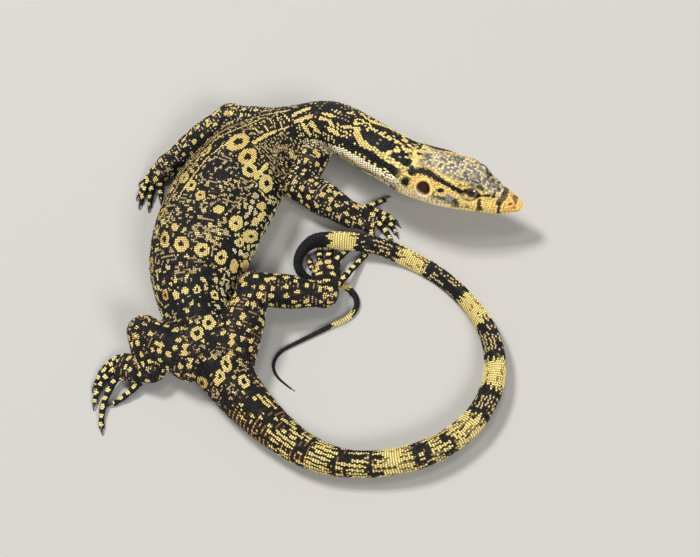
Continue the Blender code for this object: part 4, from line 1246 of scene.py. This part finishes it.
def make_mesh(name, points, faces, material, colours=None, bake=None):
    """A mesh object from points in millimetres and arrays of equal-sided faces, shaded smooth, with a
    colour for each point and a place on the bake map for each point."""
    corners = np.concatenate([group.ravel() for group in faces]).astype(np.int32)
    sizes = np.concatenate([np.full(len(group), group.shape[1]) for group in faces])
    starts = np.concatenate([[0], np.cumsum(sizes)[:-1]]).astype(np.int32)
    mesh = bpy.data.meshes.new(name)
    mesh.vertices.add(len(points))
    mesh.vertices.foreach_set("co", (points * MM).astype(np.float32).ravel())
    mesh.loops.add(len(corners))
    mesh.loops.foreach_set("vertex_index", corners)
    mesh.polygons.add(len(starts))
    mesh.polygons.foreach_set("loop_start", starts)
    mesh.update(calc_edges=True)
    mesh.shade_smooth()
    if colours is not None:
        layer = mesh.attributes.new("marking", "FLOAT_COLOR", "CORNER")
        full = np.concatenate([colours, np.ones((len(colours), 1))], axis=1)
        layer.data.foreach_set("color", full[corners].astype(np.float32).ravel())
    if bake is not None:
        layer = mesh.uv_layers.new(name="OFBake")
        layer.uv.foreach_set("vector", bake[corners].astype(np.float32).ravel())
    obj = bpy.data.objects.new(name, mesh)
    bpy.context.scene.collection.objects.link(obj)
    mesh.materials.append(material)
    return obj


def finish_piece(obj, nodes=()):
    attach(obj, "root")
    if nodes:
        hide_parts(*nodes)
    return obj


def tube_faces(rings, sides):
    """Faces of a closed tube: quads between rings and a fan to a point at each end."""
    row = np.arange(rings - 1)[:, None] * sides
    here, following = np.arange(sides), (np.arange(sides) + 1) % sides
    quads = np.stack([row + here, row + following, row + sides + following, row + sides + here], axis=2)
    first = rings * sides
    end = (rings - 1) * sides
    start_fan = np.stack([np.full(sides, first), following, here], axis=1)
    end_fan = np.stack([np.full(sides, first + 1), end + here, end + following], axis=1)
    return [quads.reshape(-1, 4)[:, ::-1], np.concatenate([start_fan, end_fan])[:, ::-1]]


def with_ends(rings):
    """The points of rings in one list, and after them the middle of the first ring and of the last."""
    return np.concatenate([rings.reshape(-1, 3), rings[0].mean(axis=0)[None], rings[-1].mean(axis=0)[None]])


def surface_mesh(surface, material, paint):
    """A grid over the surface, closed at both ends, with the markings darkened by the painted shade of the
    grooves between scales.
    """
    us, sides = surface.rings(), surface.sides
    u, v = grid_of(us, np.arange(sides) * 360 / sides - 90)
    points = with_ends(surface.at(u, v).reshape(len(us), sides, 3))
    # The skin shows only in the grooves between scales, so its colours take painted shade there.
    colours = surface.markings(u, v, np.floor(u / SCALE_PITCH), paint) * surface.groove(u, v)[:, None]
    colours = np.concatenate([colours, colours[:1], colours[-1:]])
    return make_mesh("skin", points, tube_faces(len(us), sides), material, colours)


RING_SAMPLES = 144


def rows_on(surface, starts, around, samples=RING_SAMPLES):
    """Places in rows across a surface: u, v, and the row's number. Each row's places are spread along
    its length as 'around' asks, and every second row is shifted by half a scale."""
    v = np.linspace(-90, 270, samples + 1)
    rings = surface.base(*grid_of(starts, v)).reshape(len(starts), len(v), 3)
    steps = np.linalg.norm(np.diff(rings, axis=1), axis=2)
    middle = (v[1:] + v[:-1]) / 2
    found = []
    for number, start in enumerate(starts):
        dense = steps[number] / around(np.full(len(middle), start), middle)
        total = np.concatenate([[0], np.cumsum(dense)])
        count = max(3, int(round(total[-1])))
        places = (np.arange(count) + 0.5 * (number % 2) + 0.25) / count * total[-1]
        found.append((np.full(count, start), np.interp(places, total, v), np.full(count, number)))
    return [np.concatenate(kind) for kind in zip(*found)]


def clear_of_others(surface, u, v, row):
    """The places of rows that don't lie inside a body that the surface meets."""
    keep = ~surface.buried(u, v)
    return u[keep], v[keep], row[keep]


def bake_places(share, v):
    """Where scales lie on the bake map, by their share of the length and their angle."""
    return np.stack([share, (v + 92) / 368], axis=1)


SCALE_SIDES = 6
# A scale's rings as size, level and how far they lean back; the crest's place; and how bright each is.
FOOT = (1.0, -0.55, 0.0)
SHOULDER = (0.84, 0.62, 0.18)
CREST_SHIFT = 0.12
# How bright each ring is painted: painted shade at the foot, down in the groove, and a painted highlight on
# the crest.
FOOT_PAINTED_SHADE, SHOULDER_PAINTED_SHADE, CREST_PAINTED_HIGHLIGHT = 0.14, 0.88, 1.14
# How large a scale's foot and shoulder are on the bake map.
BAKE_SIZES = (0.0015, 0.0011)
# A bead's half length and half width as a share of the distance to the next.
BEAD_LONG, BEAD_WIDE = 0.54, 0.52
# How far along and round the slope under a scale is read, and how much scales vary in size and height.
SLOPE_STEP, SLOPE_TURN = 0.05, 0.6
SIZE_DRAWS, HEIGHT_DRAWS = (0.93, 1.05), (0.85, 1.15)
# Seeds of the draws for the scales of each region.
TRUNK_DRAWS, TAIL_DRAWS, HEAD_DRAWS, LIMB_DRAWS = 7, 11, 17, 23


def scale_coat(name, surface, scales, material, rng, keel=0.0, foot_painted_shade=FOOT_PAINTED_SHADE):
    """Scales as joined beads: each a six-sided foot sunk in the skin, a shoulder and a low crest that
    leans back along the body. The foot is painted dark as shade down in the groove, and the crest light as
    a painted highlight. Scales are given as u, v, half length, half width, height, colour and place on the
    bake map."""
    u, v, half_long, half_wide, height, colours, places = scales
    here = surface.at(u, v)
    ahead = surface.at(u + SLOPE_STEP, v) - here
    round_it = surface.at(u, v + SLOPE_TURN) - here
    stretch = np.clip(np.linalg.norm(ahead, axis=1) / SLOPE_STEP, 0.6, 1.5)
    along = unit(ahead)
    normal = unit(np.cross(round_it, ahead))
    across = np.cross(normal, along)
    half_long = half_long * stretch * rng.uniform(*SIZE_DRAWS, len(u))
    half_wide = half_wide * rng.uniform(*SIZE_DRAWS, len(u))
    height = height * rng.uniform(*HEIGHT_DRAWS, len(u))
    angle = round_turn(SCALE_SIDES)
    cos, sin = np.cos(angle), np.sin(angle)
    rings = []
    for size, level, lean in (FOOT, SHOULDER):
        long = (half_long * size)[:, None] * cos
        wide = (half_wide * size)[:, None] * sin
        rise = height[:, None] * (level + lean * cos)
        ring = here[:, None] + long[..., None] * along[:, None] + wide[..., None] * across[:, None]
        rings.append(ring + rise[..., None] * normal[:, None])
    crest = here + along * (half_long * CREST_SHIFT)[:, None] + normal * (height * (1.0 + keel))[:, None]
    points = np.concatenate(rings + [crest[:, None]], axis=1)
    each = 2 * SCALE_SIDES + 1
    low, following = np.arange(SCALE_SIDES), (np.arange(SCALE_SIDES) + 1) % SCALE_SIDES
    walls = np.stack([low, following, following + SCALE_SIDES, low + SCALE_SIDES], axis=1)
    tops = np.stack([low + SCALE_SIDES, following + SCALE_SIDES, np.full(SCALE_SIDES, each - 1)], axis=1)
    first = np.arange(len(u))[:, None, None] * each
    faces = [(first + group[None]).reshape(-1, group.shape[1]) for group in (low[::-1][None], walls, tops)]
    points = points.reshape(-1, 3)
    points[:, 2] = np.maximum(points[:, 2], FLOOR_CLEARANCE / 3)
    # Painted shade at the foot, down in the groove, and a painted highlight on the crest.
    shade = np.repeat((foot_painted_shade, SHOULDER_PAINTED_SHADE, CREST_PAINTED_HIGHLIGHT), (SCALE_SIDES, SCALE_SIDES, 1))
    painted = (colours[:, None] * shade[None, :, None]).reshape(-1, 3)
    patch = np.concatenate([np.stack([cos, sin], axis=1) * size for size in BAKE_SIZES] + [[[0, 0]]])
    bake = (places[:, None] + patch[None]).reshape(-1, 2)
    return make_mesh(name, points, faces, material, painted, bake)


def region_coats(regions, surface, scales, material, rng, keel=0.0):
    """A coat of scales for each region, from its first station up to its last."""
    u, v = scales[:2]
    for name, low, high in regions:
        pick = (u >= low) & (u < high)
        share = (u[pick] - u[pick].min() + 1) / (np.ptp(u[pick]) + 2)
        picked = [part[pick] for part in scales] + [bake_places(share, v[pick])]
        finish_piece(scale_coat(name, surface, picked, material, rng, keel))


def shader_node(tree, kind, settings=None, links=None):
    """Adds one node, sets its values and links its inputs."""
    node = tree.nodes.new(kind)
    for key, value in (settings or {}).items():
        if hasattr(node, key):
            setattr(node, key, value)
        else:
            node.inputs[key].default_value = value
    for key, source in (links or {}).items():
        tree.links.new(source, node.inputs[key])
    return node


def new_material(name, values):
    """A material with its surface's plain values; gives also its nodes and its surface."""
    material = bpy.data.materials.new(name)
    material.use_nodes = True
    surface = material.node_tree.nodes["Principled BSDF"]
    for key, value in values.items():
        surface.inputs[key].default_value = value
    return material, material.node_tree, surface


def mottled_marking(tree, surface, place, grain, low, high):
    """Base colour from the markings of the mesh, made darker and brighter by a fine grain."""
    paint = shader_node(tree, "ShaderNodeAttribute", {"attribute_name": "marking"})
    grain = shader_node(tree, "ShaderNodeTexNoise", grain, {"Vector": place.outputs["Object"]})
    span = {"To Min": low, "To Max": high}
    vary = shader_node(tree, "ShaderNodeMapRange", span, {"Value": grain.outputs["Fac"]})
    tint = shader_node(tree, "ShaderNodeVectorMath", {"operation": "SCALE"})
    tree.links.new(paint.outputs["Color"], tint.inputs[0])
    tree.links.new(vary.outputs["Result"], tint.inputs["Scale"])
    tree.links.new(tint.outputs["Vector"], surface.inputs["Base Color"])


def keratin_scales(name, rough, bump, coat):
    """Reptile scale: thin keratin over pigment, grown in beads. Each bead is glossy enough to catch a
    small highlight, with dry patches, and its pigment varies a little from bead to bead."""
    values = {"IOR": 1.5, "Specular IOR Level": 0.24, "Coat Weight": coat, "Coat Roughness": 0.3}
    material, tree, surface = new_material(name, values)
    place = shader_node(tree, "ShaderNodeTexCoord")
    there = {"Vector": place.outputs["Object"]}
    mottled_marking(tree, surface, place, {"Scale": 900.0, "Detail": 3.0}, 0.78, 1.22)
    patches = shader_node(tree, "ShaderNodeTexNoise", {"Scale": 140.0, "Detail": 2.0}, there)
    span = {"From Min": 0.3, "From Max": 0.7, "To Min": rough - 0.08, "To Max": rough + 0.12}
    gloss = shader_node(tree, "ShaderNodeMapRange", span, {"Value": patches.outputs["Fac"]})
    tree.links.new(gloss.outputs["Result"], surface.inputs["Roughness"])
    grain = shader_node(tree, "ShaderNodeTexNoise", {"Scale": 5200.0, "Detail": 2.0}, there)
    depth = {"Strength": bump, "Distance": 0.00006}
    relief = shader_node(tree, "ShaderNodeBump", depth, {"Height": grain.outputs["Fac"]})
    tree.links.new(relief.outputs["Normal"], surface.inputs["Normal"])
    return material


def wet_eye():
    """Living eye: a clear wet cornea over a dark iris, so the pupil is black and one sharp highlight
    shows."""
    values = {"Roughness": 0.25, "IOR": 1.376, "Coat Weight": 1.0, "Coat Roughness": 0.02}
    material, tree, surface = new_material("wet_cornea_over_iris", values)
    place = shader_node(tree, "ShaderNodeTexCoord")
    mottled_marking(tree, surface, place, {"Scale": 2600.0, "Detail": 4.0}, 0.6, 1.4)
    return material


def claw_horn(tone):
    """Claw: solid keratin horn worn smooth, dark and half glossy, with faint streaks along it."""
    material, tree, surface = new_material("dark_claw_horn", {"Roughness": 0.3, "IOR": 1.54})
    place = shader_node(tree, "ShaderNodeTexCoord")
    there = {"Vector": place.outputs["Object"]}
    streaks = shader_node(tree, "ShaderNodeTexNoise", {"Scale": 1400.0, "Detail": 3.0}, there)
    ramp = shader_node(tree, "ShaderNodeValToRGB", None, {"Fac": streaks.outputs["Fac"]})
    for stop, bright in zip(ramp.color_ramp.elements, (0.5, 2.2)):
        stop.color = (*(tone * bright), 1)
    tree.links.new(ramp.outputs["Color"], surface.inputs["Base Color"])
    depth = {"Strength": 0.3, "Distance": 0.00004}
    relief = shader_node(tree, "ShaderNodeBump", depth, {"Height": streaks.outputs["Fac"]})
    tree.links.new(relief.outputs["Normal"], surface.inputs["Normal"])
    return material


def matte_floor(tone):
    """Plain paper ground: pale, even and matte, so only soft shadows show on it."""
    return new_material("matte_paper", {"Base Color": (*tone, 1), "Roughness": 0.9})[0]


def paints():
    """The chosen colours, each as an array."""
    group = bpy.context.scene.lizard_colours
    return {key: np.array(getattr(group, key)) for key in LizardColours.__annotations__}


def sizes():
    """The chosen sizes in millimetres."""
    group = bpy.context.scene.lizard_sizes
    return {key: getattr(group, key) / MM for key in LizardSizes.__annotations__}


class LIZARD_OT_skin(bpy.types.Operator):
    """Makes one skin over head, trunk, tail and legs"""

    bl_idname = "lizard.skin"
    bl_label = "Skin"

    def execute(self, context):
        paint = paints()
        material = keratin_scales("soft_skin_between_scales", 0.55, 0.5, 0.0)
        surfaces = [Body()] + [surface for limb in LIMBS for surface in limb_surfaces(limb)]
        skin, *others = [surface_mesh(surface, material, paint) for surface in surfaces]
        joined = bpy.data.collections.new("joined_skin")
        for other in others:
            joined.objects.link(other)
        modifier = skin.modifiers.new("join", "BOOLEAN")
        modifier.operation = "UNION"
        modifier.solver = "MANIFOLD"
        modifier.operand_type = "COLLECTION"
        modifier.collection = joined
        context.view_layer.update()
        result = bpy.data.meshes.new_from_object(skin.evaluated_get(context.evaluated_depsgraph_get()))
        skin.modifiers.clear()
        skin.data = result
        for other in others:
            bpy.data.objects.remove(other)
        bpy.data.collections.remove(joined)
        flesh = [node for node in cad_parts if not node.startswith(("eye", "claw"))]
        finish_piece(skin, flesh)
        return {"FINISHED"}


# Where the rows of the trunk begin and end, and where those of the tail and the head do.
TRUNK_ROWS = (46.0, 216.0)
TAIL_ROWS = (216.4, BODY_LENGTH - 1)
HEAD_ROWS = (2.6, 46)
SNOUT_ROWS = (0.35, 1.0, 1.75)
# The coats of trunk and tail, each with the stations that it begins and ends at.
TRUNK_COATS = (
    ("neck_scales", 0, 94), ("shoulder_scales", 94, 122), ("back_scales", 122, 142),
    ("loin_scales", 142, 164), ("hip_scales", 164, 999),
)
TAIL_COATS = (("tail_root_scales", 0, 290), ("tail_end_scales", 290, 999))


class LIZARD_OT_trunk_scales(bpy.types.Operator):
    """Lays rows of beads over the neck and trunk"""

    bl_idname = "lizard.trunk_scales"
    bl_label = "Trunk scales"

    def execute(self, context):
        size, paint = sizes(), paints()
        body = Body()
        material = keratin_scales("beaded_back_scales", 0.36, 0.35, 0.05)

        def from_neck(key, station):
            return size["neck_row"] + (size[key] - size["neck_row"]) * smooth(60, 104, station)

        def around(u, v):
            under = np.maximum(smooth(-10, -40, v), smooth(190, 220, v))
            back = from_neck("trunk_scale", u)
            return back + (size["belly_scale"] - back) * under

        starts = [TRUNK_ROWS[0]]
        while starts[-1] < TRUNK_ROWS[1]:
            starts.append(starts[-1] + from_neck("trunk_row", starts[-1]))
        starts = np.array(starts)
        u, v, row = rows_on(body, starts, around)
        rng = np.random.default_rng(TRUNK_DRAWS)
        v = v + rng.uniform(-0.25, 0.25, len(v))
        u, v, row = clear_of_others(body, u, v, row)
        pitch = np.diff(starts, append=starts[-1] + size["trunk_row"])[row]
        colours = body_markings(u, v, row, paint)
        height = np.full(len(u), size["scale_height"])
        scales = (u, v, pitch * BEAD_LONG, around(u, v) * BEAD_WIDE, height, colours)
        region_coats(TRUNK_COATS, body, scales, material, rng)
        return {"FINISHED"}


class LIZARD_OT_tail_scales(bpy.types.Operator):
    """Lays whorls of long keeled scales round the tail"""

    bl_idname = "lizard.tail_scales"
    bl_label = "Tail scales"

    def execute(self, context):
        size, paint = sizes(), paints()
        body = Body()
        material = keratin_scales("keeled_tail_scales", 0.38, 0.35, 0.05)

        def around(u, v):
            return size["tail_scale"] * (1 - 0.25 * smooth(420, 470, u))

        u, v, row = rows_on(body, np.arange(*TAIL_ROWS, size["tail_row"]), around)
        rng = np.random.default_rng(TAIL_DRAWS)
        thin = 1 - 0.35 * smooth(400, 480, u)
        long = np.full(len(u), size["tail_row"] * 0.5)
        wide, height = size["tail_scale"] * 0.55 * thin, size["scale_height"] * 0.85 * thin
        scales = (u, v, long, wide, height, body_markings(u, v, row, paint))
        region_coats(TAIL_COATS, body, scales, material, rng, keel=0.15)
        return {"FINISHED"}


def angle_at(station, high, side):
    """The angle at which the head's outline reaches a height, found on a fine ring at each station."""
    turn = np.linspace(-80, 80, 161)
    heights = straight_body(*grid_of(station, turn))[2].reshape(len(station), len(turn))
    angle = turn[np.abs(heights - high[:, None]).argmin(axis=1)]
    return np.where(side > 0, angle, 180 - angle)


# Rows of beads along the lips, as distance above the mouth and half width, and round the lids, as how
# far out they lie, their number and their half size. Then the ring of beads round the ear.
LIP_ROWS = ((0.66, 0.56), (-0.62, 0.44))
LIP_STEP = 1.12
LID_ROWS = ((1.24, 40, 0.24), (1.5, 44, 0.28))
EAR_BEADS = 34
EAR_RING = 1.14
EAR_BEAD = 0.27


class LIZARD_OT_head_scales(bpy.types.Operator):
    """Lays plates over the crown, beads on the cheeks, and rows along lips and lids"""

    bl_idname = "lizard.head_scales"
    bl_label = "Head scales"

    def execute(self, context):
        size, paint = sizes(), paints()
        body = Body()
        material = keratin_scales("head_plates", 0.38, 0.3, 0.05)
        rng = np.random.default_rng(HEAD_DRAWS)
        groups = []

        def around(u, v):
            up = np.abs(v - 90)
            crown = 1.15 * smooth(60, 40, up) * between(u, 3, 9, 34, 42)
            return np.maximum(crown, 0.78 + 0.12 * smooth(100, 150, up))

        def add(u, v, long, wide, height):
            groups.append((u, v, *(np.zeros(len(u)) + value for value in (long, wide, height))))

        starts = np.concatenate([SNOUT_ROWS, np.arange(*HEAD_ROWS, size["head_row"])])
        u, v, _ = rows_on(body, starts, around)
        u = u + rng.uniform(-0.26, 0.26, len(u))
        v = v + rng.uniform(-1.9, 1.9, len(v))
        at, out, high = straight_body(u, wrapped(v))
        lip = above_mouth(at, high)
        keep = (eye_offsets(at, out, high)[2] > 1.66) & (oval(at, high, EAR_AT, EAR_SIZE) > 1.2)
        keep &= (oval(at, high, NOSTRIL_AT, NOSTRIL_SIZE) > 1.7) | (np.abs(out) < 1.5)
        keep &= (lip > 1.35) | (lip < -1.15) | (at > MOUTH_CORNER)
        u, v = u[keep], v[keep]
        add(u, v, size["head_row"] * 0.62, around(u, v) * 0.57, 0.17)
        for side in (1, -1):
            for target, half in LIP_ROWS:
                s = np.arange(1.2, MOUTH_CORNER - 0.5, LIP_STEP)
                high = curve_through(MOUTH_LINE, s)[:, 0] + target
                add(s, angle_at(s, high, side), LIP_STEP * 0.56, half, 0.2)
            for reach, count, bead in LID_ROWS:
                turn = round_turn(count)
                s = EYE_AT[0] + EYE_OPENING[0] * math.sqrt(reach) * np.cos(turn)
                rise = EYE_OPENING[1] * (reach - ((s - EYE_AT[0]) / EYE_OPENING[0]) ** 2)
                high = EYE_AT[2] + np.maximum(rise, 0.12) * np.sign(np.sin(turn) + 1e-9)
                add(s, angle_at(s, high, side), bead, bead, 0.14)
            turn = round_turn(EAR_BEADS)
            s = EAR_AT[0] + EAR_SIZE[0] * EAR_RING * np.cos(turn)
            high = EAR_AT[2] + EAR_SIZE[1] * EAR_RING * np.sin(turn)
            add(s, angle_at(s, high, side), EAR_BEAD, EAR_BEAD, 0.14)
        u, v, long, wide, height = (np.concatenate(kind) for kind in zip(*groups))
        colours = body_markings(u, v, np.floor(u), paint)
        scales = (u, v, long, wide, height, colours, bake_places((u + 1) / 50, wrapped(v)))
        # The head's scales get lighter painted shade at their foot, so the grooves between them show less.
        coat = scale_coat("head_scales", body, scales, material, rng, foot_painted_shade=0.5)
        finish_piece(coat)
        return {"FINISHED"}


class LIZARD_OT_limb_scales(bpy.types.Operator):
    """Lays rows of beads over the legs, feet and toes"""

    bl_idname = "lizard.limb_scales"
    bl_label = "Leg scales"

    def execute(self, context):
        size, paint = sizes(), paints()
        material = keratin_scales("beaded_leg_scales", 0.36, 0.35, 0.05)
        rng = np.random.default_rng(LIMB_DRAWS)
        for surface in (surface for limb in LIMBS for surface in limb_surfaces(limb)):
            pitch = size[surface.row_size]
            starts = np.arange(0.4, surface.total - 0.25, pitch)
            u, v, row = rows_on(surface, starts, lambda u, v: pitch, RING_SAMPLES // 2)
            u, v, row = clear_of_others(surface, u, v, row)
            height = size["scale_height"] * surface.scale_rise
            colours = surface.markings(u, v, row, paint, surface.arm)
            places = bake_places((u + 1) / (surface.total + 2), v)
            scales = (u, v, pitch * BEAD_LONG, pitch * BEAD_WIDE, height, colours, places)
            finish_piece(scale_coat(surface.coat, surface, scales, material, rng))
        return {"FINISHED"}


BALL_RINGS, BALL_SIDES = 48, 64
CORNEA_RISE = 0.12
GAZE_BACK, GAZE_UP = -0.12, 0.16


class LIZARD_OT_eyes(bpy.types.Operator):
    """Sets an eyeball behind each pair of lids"""

    bl_idname = "lizard.eyes"
    bl_label = "Eyes"

    def execute(self, context):
        paint = paints()
        material = wet_eye()
        # A ball whose pole looks out of the head, with the cornea raised a little over the iris.
        polar, turn = grid_of(np.linspace(0.03, math.pi - 0.03, BALL_RINGS), round_turn(BALL_SIDES))
        radius = EYE_RADIUS + CORNEA_RISE * smooth(0.75, 0.3, polar)
        rim = (radius * np.sin(polar))[:, None]
        iris = paint["iris"] * (0.7 + 0.5 * hump(polar, 0.5, 0.1))[:, None]
        colours = mixed(iris, PUPIL, smooth(0.42, 0.34, polar))
        colours = mixed(colours, IRIS_EDGE, smooth(0.62, 0.78, polar))
        colours = np.concatenate([colours, colours[:1], colours[-1:]])
        for side, name in ((1, "eye_right"), (-1, "eye_left")):
            gaze = unit(np.array((GAZE_BACK, side, GAZE_UP)))
            level = unit(np.cross((0, 0, 1.0), gaze))
            top = np.cross(gaze, level)
            away = gaze * (radius * np.cos(polar))[:, None]
            away = away + rim * (np.cos(turn)[:, None] * level + np.sin(turn)[:, None] * top)
            points = bent(*(away + np.array((EYE_AT[0], EYE_AT[1] * side, EYE_AT[2]))).T)
            points = with_ends(points.reshape(BALL_RINGS, BALL_SIDES, 3))
            eye = make_mesh(name + "_ball", points, tube_faces(BALL_RINGS, BALL_SIDES), material, colours)
            finish_piece(eye, (name,))
        return {"FINISHED"}


CLAW_RINGS = 14
CLAW_SIDES = 14


def claw_points(toe, length):
    """A tapering tube that starts at the end of a toe and hooks down, with its pitch turning evenly."""
    tip, heading = (value[0] for value in toe.centre(np.array([1.0])))
    forward = np.array((math.cos(heading), math.sin(heading), 0.0))
    across = np.array((-math.sin(heading), math.cos(heading), 0.0))
    share = np.linspace(0, 1, CLAW_RINGS)
    pitch = np.radians(CLAW_PITCH[0] + (CLAW_PITCH[1] - CLAW_PITCH[0]) * share)
    along = forward * np.cos(pitch)[:, None] + np.array((0, 0, 1.0)) * np.sin(pitch)[:, None]
    centre = tip + np.array((0, 0, CLAW_RISE)) + forward * 0.1
    centre = centre + np.cumsum(along, axis=0) * length / CLAW_RINGS
    taper = (1 - 0.93 * share**1.25)[:, None]
    angle = round_turn(CLAW_SIDES)
    ring = centre[:, None] + across * (CLAW_SIZE[1] * taper * np.cos(angle))[..., None]
    ring = ring + np.cross(along, across)[:, None] * (CLAW_SIZE[0] * taper * np.sin(angle))[..., None]
    points = with_ends(ring)
    points[:, 2] = np.maximum(points[:, 2], FLOOR_CLEARANCE)
    return points


class LIZARD_OT_claws(bpy.types.Operator):
    """Grows a hooked claw from the end of each toe"""

    bl_idname = "lizard.claws"
    bl_label = "Claws"

    def execute(self, context):
        material = claw_horn(paints()["claw"])
        for limb, toes in TOES.items():
            kind, side = limb.split("_")
            count = len(toes)
            claws = [claw_points(Toe(limb, number), CLAW_LENGTH[kind]) for number in range(count)]
            first = np.arange(count)[:, None, None] * len(claws[0])
            tube = tube_faces(CLAW_RINGS, CLAW_SIDES)
            faces = [(first + group).reshape(-1, group.shape[1]) for group in tube]
            nodes = [f"claw_{LIMB_NODES[kind][2]}_{side}_{number + 1}" for number in range(count)]
            piece = make_mesh(f"claws_{limb}", np.concatenate(claws), faces, material)
            finish_piece(piece, nodes)
        return {"FINISHED"}


# The camera's angles in degrees, its distance and target, and its lens in millimetres.
CAMERA_TURN = 18.0
CAMERA_RISE = 58.0
CAMERA_DISTANCE = 400.0
CAMERA_LENS = 60.0
CAMERA_TARGET = np.array((0.0, 0.0, 6.0)) - MIDDLE
FLOOR_HALF = 3000.0
# Each lamp as its place and width in metres, its power and its tone.
LAMPS = {
    "key": ((-0.7, 0.8, 1.7), 0.45, 40.0, (1.0, 0.98, 0.95)),
    "fill": ((1.2, -1.5, 1.3), 0.7, 42.0, (1.0, 0.99, 0.97)),
    "top": ((0.2, 0.2, 2.0), 0.5, 8.0, (1.0, 1.0, 1.0)),
}
SKY = (0.86, 0.9, 0.95, 1)
SKY_STRENGTH = 0.3


def add_facing(data, back, right, place):
    """Adds an object that looks away from back, level with right, at a place in metres."""
    obj = bpy.data.objects.new(data.name, data)
    bpy.context.scene.collection.objects.link(obj)
    turned = np.eye(4)
    turned[:3] = np.stack([right, np.cross(back, right), back, place], axis=1)
    obj.matrix_world = Matrix(turned)
    return obj


class LIZARD_OT_stage(bpy.types.Operator):
    """Lays the floor and sets the lights and the camera"""

    bl_idname = "lizard.stage"
    bl_label = "Stage"

    def execute(self, context):
        scene = context.scene
        corners = np.array([(-1, -1, 0), (1, -1, 0), (1, 1, 0), (-1, 1, 0)]) * FLOOR_HALF
        floor = make_mesh("floor", corners, [np.array([[0, 1, 2, 3]])], matte_floor(paints()["floor"]))
        turn, rise = math.radians(CAMERA_TURN), math.radians(CAMERA_RISE)
        back = np.array((math.sin(turn) * math.cos(rise), -math.cos(turn) * math.cos(rise), math.sin(rise)))
        right = unit(np.array((math.sin(rise), 0, -math.sin(turn) * math.cos(rise))))
        camera = bpy.data.cameras.new("camera")
        camera.lens = CAMERA_LENS
        camera.clip_start = 0.01
        scene.camera = add_facing(camera, back, right, (CAMERA_TARGET + back * CAMERA_DISTANCE) * MM)
        scene.view_settings.view_transform = "Standard"
        for name, (place, wide, power, tone) in LAMPS.items():
            lamp = bpy.data.lights.new(name, "AREA")
            lamp.size = wide
            lamp.energy = power
            lamp.color = tone
            away = unit(np.array(place))
            add_facing(lamp, away, unit(np.cross((0, 1.0, 0), away)), place)
        world = bpy.data.worlds.new("studio")
        world.use_nodes = True
        sky = world.node_tree.nodes["Background"]
        sky.inputs["Color"].default_value = SKY
        sky.inputs["Strength"].default_value = SKY_STRENGTH
        scene.world = world
        return {"FINISHED"}


class LIZARD_PT_panel(bpy.types.Panel):
    """Lists the sizes, the colours and the steps"""

    bl_label = "Water monitor"
    bl_idname = "LIZARD_PT_panel"
    bl_space_type = "VIEW_3D"
    bl_region_type = "UI"
    bl_category = "Water monitor"

    def draw(self, context):
        scene = context.scene
        for group in (scene.lizard_sizes, scene.lizard_colours):
            for key in type(group).__annotations__:
                self.layout.prop(group, key)
        for step in STEPS:
            self.layout.operator(step.bl_idname)


STEPS = (
    LIZARD_OT_skin,
    LIZARD_OT_head_scales,
    LIZARD_OT_trunk_scales,
    LIZARD_OT_tail_scales,
    LIZARD_OT_limb_scales,
    LIZARD_OT_eyes,
    LIZARD_OT_claws,
    LIZARD_OT_stage,
)
CLASSES = (LizardSizes, LizardColours) + STEPS + (LIZARD_PT_panel,)


def register():
    for kind in CLASSES:
        bpy.utils.register_class(kind)
    bpy.types.Scene.lizard_sizes = PointerProperty(type=LizardSizes)
    bpy.types.Scene.lizard_colours = PointerProperty(type=LizardColours)


def unregister():
    del bpy.types.Scene.lizard_colours
    del bpy.types.Scene.lizard_sizes
    for kind in reversed(CLASSES):
        bpy.utils.unregister_class(kind)


def main():
    register()
    bpy.ops.lizard.skin()
    bpy.ops.lizard.head_scales()
    bpy.ops.lizard.trunk_scales()
    bpy.ops.lizard.tail_scales()
    bpy.ops.lizard.limb_scales()
    bpy.ops.lizard.eyes()
    bpy.ops.lizard.claws()
    bpy.ops.lizard.stage()


if __name__ == "__main__":
    main()
